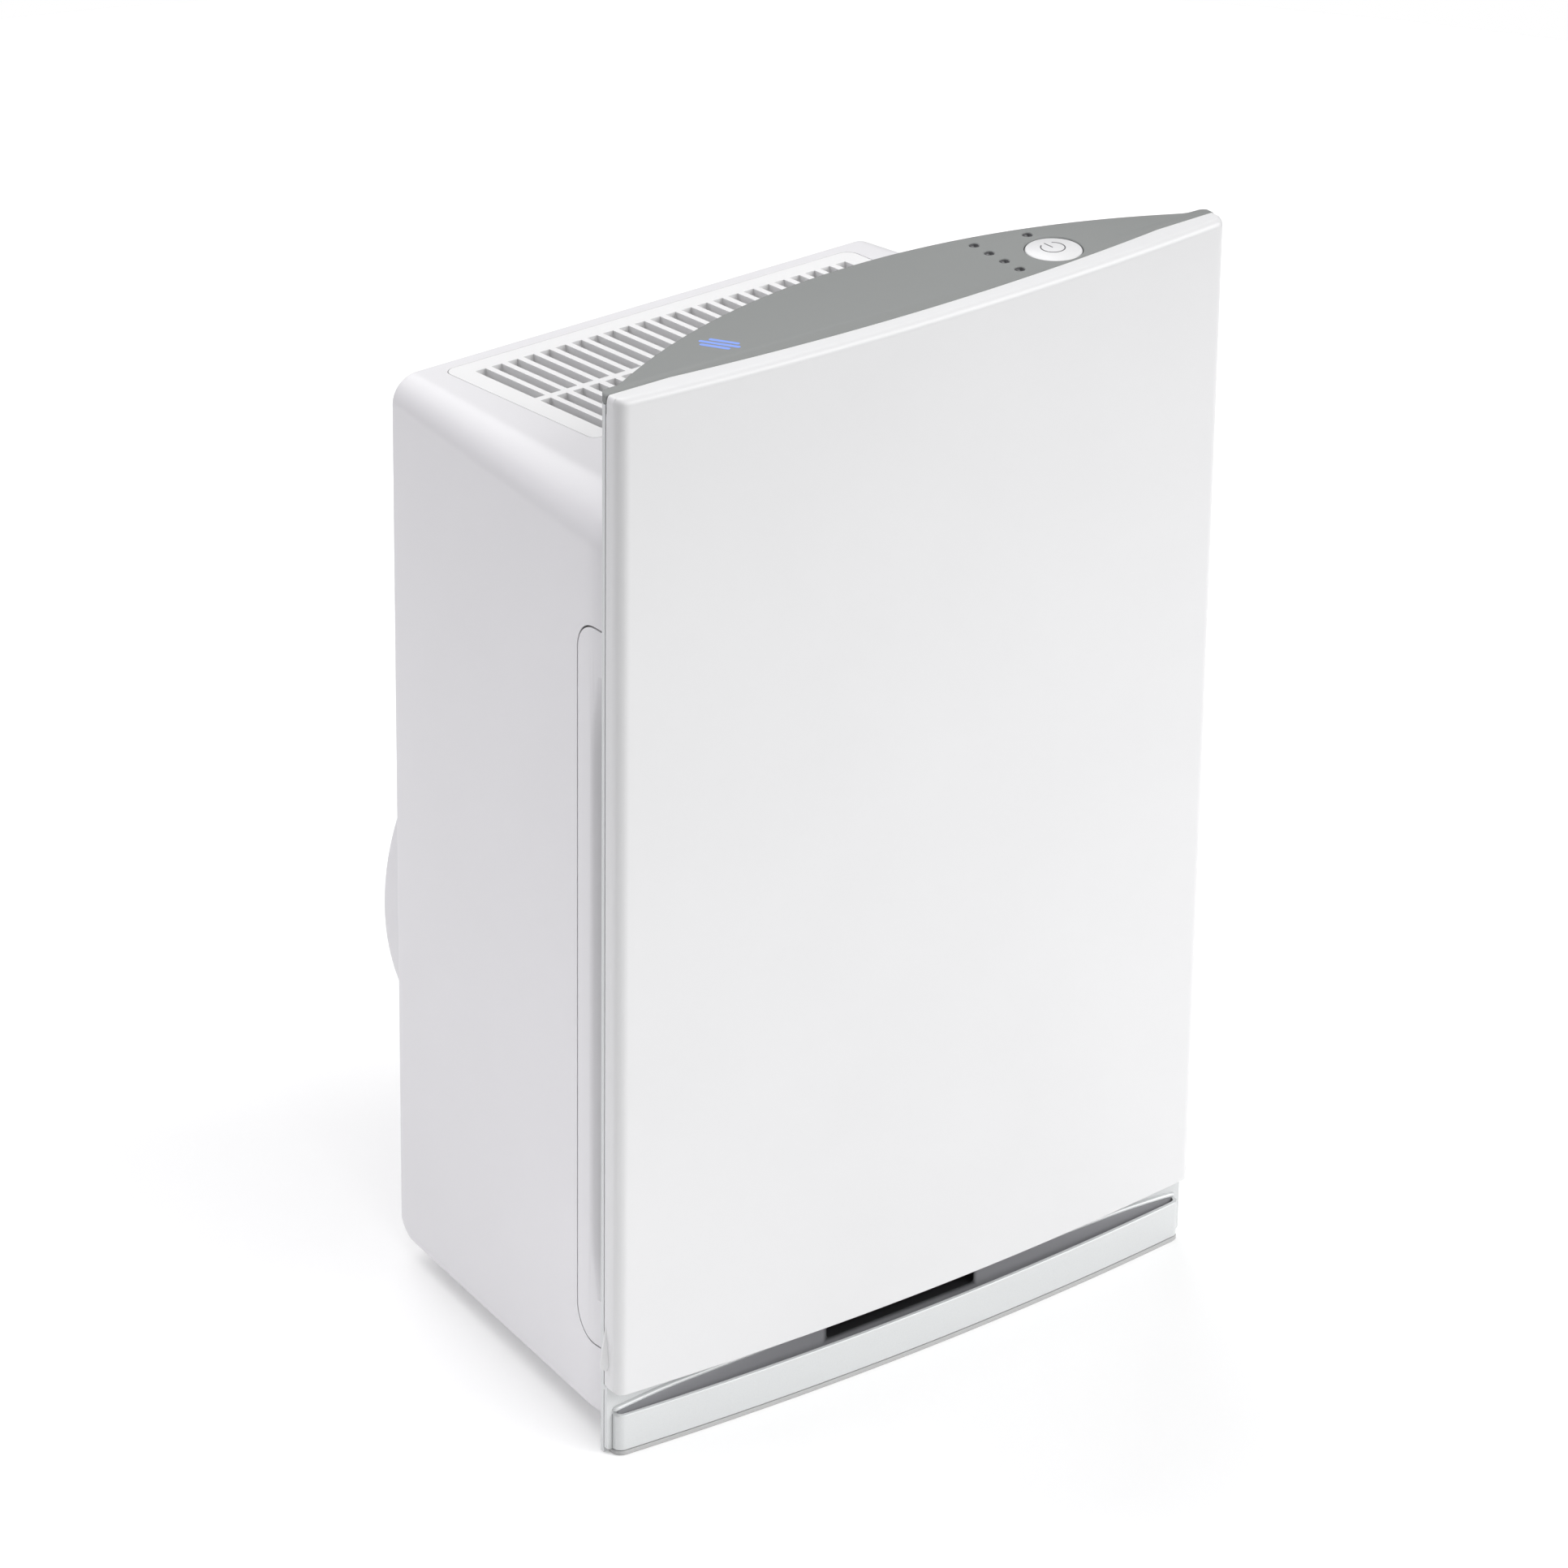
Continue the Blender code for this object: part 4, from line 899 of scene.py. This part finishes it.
def make_channel():
    """The grey channel behind the base bar, with the dark mouth of its air inlet. Its grey is partly a
    darker part's own tone and partly painted shade of the recess, and it falls to black at the mouth as
    painted shade.
    """
    loops = []
    half = 0.1612
    steps = 48
    for i in range(steps + 1):
        x = half * (2 * i / steps - 1)
        middle = min((FLANGE_INNER - 0.0004 - abs(x)) / RIDGE_RISE_LENGTH, 1.0)
        top = RIDGE_END_Z + (RIDGE_Z - RIDGE_END_Z) * math.sin(math.pi / 2 * middle) - 0.0002
        loops.append([(x, -0.0036, 0.0060), (x, -0.0036, top), (x, -0.0031, top), (x, -0.0031, 0.0060)])
    channel = loft("channel", loops, M["channel"])
    mouth = rounded(-INLET_HALF, INLET_HALF, MOUTH_LOW, INLET_HIGH - 0.0002, 0.0020, 0.0020, 5)
    cut(channel, prism("mouth", mouth, "Y", -0.02, 0.02, M["channel"]))
    settle(channel, "housing", "dark_plastic")
    duct = prism("inlet_duct", inlet_outline(DUCT_WALL), "Y", -PLATE, 0.0300, M["dark"])
    cut(duct, prism("duct_room", inlet_outline(0.0), "Y", -0.01, 0.0290, M["dark"]))
    settle(duct, "housing", "dark_plastic")


def make_base():
    rear = -PLATE - GAP
    edge = 0.0005
    loops = []
    for rise, inset in reversed(quarter(edge, 3)):
        outline = bowed_outline(BASE_FRONT + inset, BASE_BOW, BASE_HALF - inset, rear, 0.0044 - inset)
        loops.append([(x, y, BASE_LOW + edge - rise) for x, y in outline])
    for rise, inset in quarter(edge, 3):
        outline = bowed_outline(BASE_FRONT + inset, BASE_BOW, BASE_HALF - inset, rear, 0.0044 - inset)
        loops.append([(x, y, BASE_TOP - edge + rise) for x, y in outline])
    bar = loft("bar", loops, M["silver"])
    wall = 0.0018
    pocket = bowed_outline(BASE_FRONT + wall, BASE_BOW, BASE_HALF - wall, 0.0, 0.0028)
    cut(bar, prism("pocket", pocket, "Z", 0.0055, 0.030, M["silver"]))
    settle(bar, "housing", "silver", "base_bar")
    pad_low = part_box("foot_strip")[0]
    loops = []
    foot = pad_low.z
    for z, inset in ((foot, 0.0004), (foot + 0.0005, 0.0), (PAD_TOP - 0.0004, 0.0), (PAD_TOP, 0.0004)):
        front = BASE_FRONT - 0.0003 + inset
        half = BASE_HALF + 0.0003 - inset
        outline = bowed_outline(front, BASE_BOW, half, -0.0005 - inset, 0.0050)
        loops.append([(x, y, z) for x, y in outline])
    settle(loft("foot_pad", loops, M["rubber"]), "housing", "rubber_grey", "foot_strip")


# Control deck -----------------------------------------------------------------------------


def led_centres():
    found = []
    for number in range(1, 6):
        low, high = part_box(f"led_lens_{number}")
        found.append(((low.x + high.x) / 2, (low.y + high.y) / 2 - BACK))
    return found


def button_place():
    low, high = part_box("power_button")
    return ((low.x + high.x) / 2, (low.y + high.y) / 2 - BACK), (high.x - low.x) / 2, low.z, high.z


def flared_hole(name, centre, radius, flare):
    """A cutter that opens a little towards the deck's face."""
    levels = [(radius, 0.510), (radius, DECK_TOP - flare), (radius + 2 * flare, DECK_TOP + flare)]
    return loft(name, [[(a, b, z) for a, b in circle(centre, r, 64)] for r, z in levels], M["deck"])


def make_deck():
    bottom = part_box("control_deck")[0].z
    edge = 0.0005
    loops = [[(x, y, bottom) for x, y in deck_outline()]]
    for rise, inset in quarter(edge, 3):
        loops.append([(x, y, DECK_TOP - edge + rise) for x, y in deck_outline(inset=inset)])
    deck = loft("deck_panel", loops, M["deck"])
    tip = rounded(-HALF, HALF, bottom - 0.010, DECK_TOP + 0.0001, 0.001, TIP_RADIUS, 10)
    combine(deck, [prism("tip", tip, "Y", -0.030, 0.080, M["deck"])], "INTERSECT")
    centre, radius, _, _ = button_place()
    tools = [flared_hole("button_hole", centre, radius + 0.0004, 0.0004)]
    tools += [flared_hole("led_hole", place, 0.0022, 0.0005) for place in led_centres()]
    cut(deck, *tools)
    settle(deck, "housing", "deck_grey", "control_deck")


def make_leds():
    """Each light is a recessed cup with a small clear dome at its bottom."""
    for number, place in enumerate(led_centres(), 1):
        top = DECK_TOP - 0.0002
        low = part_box(f"led_lens_{number}")[0].z
        profile = [(0.0021, low), (0.0021, top), (0.0018, top)]
        profile += [(0.0016, top - 0.0012), (0.0011, top - 0.0016)]
        profile += [(0.0008, top - 0.0010), (0.0004, top - 0.0007), (0.0001, top - 0.0006)]
        loops = [[(a, b, z) for a, b in circle(place, radius, 24)] for radius, z in profile]
        cup = loft(f"led_cup_{number}", loops, M["lens"], 60)
        settle(cup, "housing", "lens", f"led_lens_{number}")


def stroke(name, start, end, width, z0, z1, material):
    """A flat rounded stroke between two points of the deck's plane."""
    a, b = Vector(start), Vector(end)
    heading = math.atan2(b.y - a.y, b.x - a.x)
    outline = []
    for centre, turn in ((b, -math.pi / 2), (a, math.pi / 2)):
        for i in range(9):
            angle = heading + turn + math.pi * i / 8
            outline.append((centre.x + width / 2 * math.cos(angle), centre.y + width / 2 * math.sin(angle)))
    return prism(name, outline, "Z", z0, z1, material)


def make_button():
    centre, radius, low, high = button_place()
    profile = [(radius - 0.0005, low), (radius, low + 0.0005), (radius, high - 0.0007)]
    profile += [(radius - 0.0003, high - 0.0002), (radius - 0.0008, high), (0.0002, high)]
    loops = [[(a, b, z) for a, b in circle(centre, r, 64)] for r, z in profile]
    cap = loft("button_cap", loops, M["cover"], 40)
    settle(cap, "button", "white_gloss", "power_button")
    ring_centre = (centre[0] + 0.0010, centre[1] + 0.0018)
    ring, line, gap = 0.0054, 0.0005, math.radians(33)
    steps = 40
    outer = []
    inner = []
    for i in range(steps + 1):
        angle = math.pi / 2 + gap + (2 * math.pi - 2 * gap) * i / steps
        for path, reach in ((outer, ring + line / 2), (inner, ring - line / 2)):
            path.append((ring_centre[0] + reach * math.cos(angle), ring_centre[1] + reach * math.sin(angle)))
    ink_low, ink_high = high - 0.0002, high + 0.00008
    arc = prism("button_ring", outer + inner[::-1], "Z", ink_low, ink_high, M["ink"])
    settle(arc, "button", "dark_plastic")
    start = (ring_centre[0] - 0.0001, ring_centre[1] + 0.0002)
    end = (ring_centre[0] - 0.0004, ring_centre[1] + 0.0054)
    settle(stroke("button_bar", start, end, line, ink_low, ink_high, M["ink"]), "button", "dark_plastic")


def make_mark():
    """Three plain blue strokes let into the deck."""
    middle = Vector((-0.0965, 0.0130))
    along = Vector((0.55, -0.835)).normalized()
    across = Vector((-along.y, along.x))
    strokes = ((-0.0032, 0.0060, -0.001), (0.0, 0.0085, 0.0), (0.0032, 0.0060, 0.001))
    for number, (offset, reach, slide) in enumerate(strokes, 1):
        start = middle + across * offset - along * (reach - slide)
        end = middle + across * offset + along * (reach + slide)
        low, high = DECK_TOP - 0.0002, DECK_TOP + 0.00005
        bar = stroke(f"deck_stroke_{number}", start, end, 0.0020, low, high, M["blue"])
        settle(bar, "housing", "lens")


# Filters ----------------------------------------------------------------------------------


def make_pleats():
    low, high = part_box("hepa_media")
    front, rear = low.y - BACK, high.y - BACK
    folds = 110
    sheet = 0.0012
    path = []
    for i in range(folds + 1):
        x = low.x + (high.x - low.x) * i / folds
        path.append((x, front if i % 2 == 0 else rear - sheet))
    outline = path + [(x, y + sheet) for x, y in reversed(path)]
    pleats = prism("pleats", outline, "Z", low.z, high.z, M["paper"])
    settle(pleats, "hepa_body", "filter_paper", "hepa_media")


# Studio -----------------------------------------------------------------------------------


def make_studio():
    floor_radius = 1.6
    points = [(a, b, 0.0) for a, b in circle((0.0, 0.0), floor_radius, 96)]
    mesh = bpy.data.meshes.new("floor")
    mesh.from_pydata(points, [], [tuple(range(len(points)))])
    surface = Surface("floor_paper", (0.80, 0.80, 0.80), 0.9)
    surface.shader.inputs["Emission Color"].default_value = (1.0, 1.0, 1.0, 1.0)
    surface.shader.inputs["Emission Strength"].default_value = 0.17
    surface.bump(surface.noise(300.0, 2.0), 0.00005)
    mesh.materials.append(surface.material)
    floor = bpy.data.objects.new("floor", mesh)
    bpy.context.scene.collection.objects.link(floor)

    neutral = (1.0, 1.0, 1.0)
    cool = (1.0, 0.985, 1.035)
    suns = (
        ("key_front_right", (0.65, -0.62, 0.45), 1.82, 40, neutral),
        ("side_left_rear", (-0.66, 0.62, 0.30), 1.06, 50, cool),
        ("fill_front", (0.0, -1.0, 0.30), 0.33, 60, neutral),
        ("top_front", (0.0, -0.60, 0.80), 1.36, 60, neutral),
        ("top_rear", (0.0, 0.70, 0.70), 1.85, 60, neutral),
        ("top", (0.05, 0.10, 1.0), 0.50, 80, neutral),
    )
    for name, towards, strength, spread, colour in suns:
        light = bpy.data.lights.new(name, "SUN")
        light.energy = strength
        light.color = colour
        light.angle = math.radians(spread)
        lamp = bpy.data.objects.new(name, light)
        lamp.rotation_mode = "QUATERNION"
        lamp.rotation_quaternion = Vector(towards).to_track_quat("Z", "Y")
        bpy.context.scene.collection.objects.link(lamp)

    world = bpy.data.worlds.new("studio")
    bpy.context.scene.world = world
    world.use_nodes = True
    tree = world.node_tree
    background = tree.nodes["Background"]
    path = tree.nodes.new("ShaderNodeLightPath")
    mix = tree.nodes.new("ShaderNodeMix")
    mix.data_type = "RGBA"
    mix.inputs["A"].default_value = (0.02, 0.02, 0.021, 1.0)
    mix.inputs["B"].default_value = (1.0, 1.0, 1.0, 1.0)
    tree.links.new(path.outputs["Is Camera Ray"], mix.inputs["Factor"])
    tree.links.new(mix.outputs["Result"], background.inputs["Color"])
    bpy.context.scene.view_settings.view_transform = "Standard"


aim_camera()
make_studio()
make_cover()
make_case()
make_side_inlets()
make_grille()
make_motor_cover()
make_frame()
make_base()
make_channel()
make_deck()
make_leds()
make_button()
make_mark()
make_pleats()

refined("control_housing", M["cover"], "white_gloss")
refined("fan_bulkhead", M["dark"], "dark_plastic", width=0.0004)
refined("filter_tray", M["dark"], "dark_plastic", width=0.0004)
refined("pre_filter", M["dark"], "dark_plastic", "pre_filter_body", 0.0004)
refined("hepa_frame", M["card"], "filter_paper", "hepa_body", 0.0004)
refined("rear_foot_left", M["rubber"], "rubber_grey")
refined("rear_foot_right", M["rubber"], "rubber_grey")
refined("mains_inlet", M["dark"], "dark_plastic")
refined("motor_mount", M["zinc"], "zinc_steel")
refined("motor_body", M["steel"], "motor_steel", width=0.0)
refined("motor_shaft", M["steel"], "motor_steel", "fan", 0.0)
refined("impeller", M["dark"], "dark_plastic", "fan", 0.0)
refined("inlet_ring", M["dark"], "dark_plastic", width=0.0)
refined("scroll_housing", M["dark"], "dark_plastic", width=0.0)
refined("fan_guard", M["dark"], "dark_plastic", width=0.0002)
refined("run_capacitor", M["can"], "capacitor_can", width=0.0)

SCREWS = [f"{kind}_screw_{n}" for kind in ("frame", "motor") for n in range(1, 5)]
KEPT = {
    "zinc_steel": ("zinc", ["hub_nut", "bearing_front", "bearing_rear"] + SCREWS),
    "circuit_board": ("board", ["control_board", "power_board"]),
    "dark_plastic": ("dark", ["button_switch"]),
    "filter_mesh": ("mesh", ["pre_filter_mesh"]),
    "carbon": ("carbon", ["carbon_filter"]),
}
for slot, (material, nodes) in KEPT.items():
    for node in nodes:
        finish_node(node, M[material])
for node in ("hepa_tab_upper", "hepa_tab_lower"):
    finish_node(node, M["tape"])
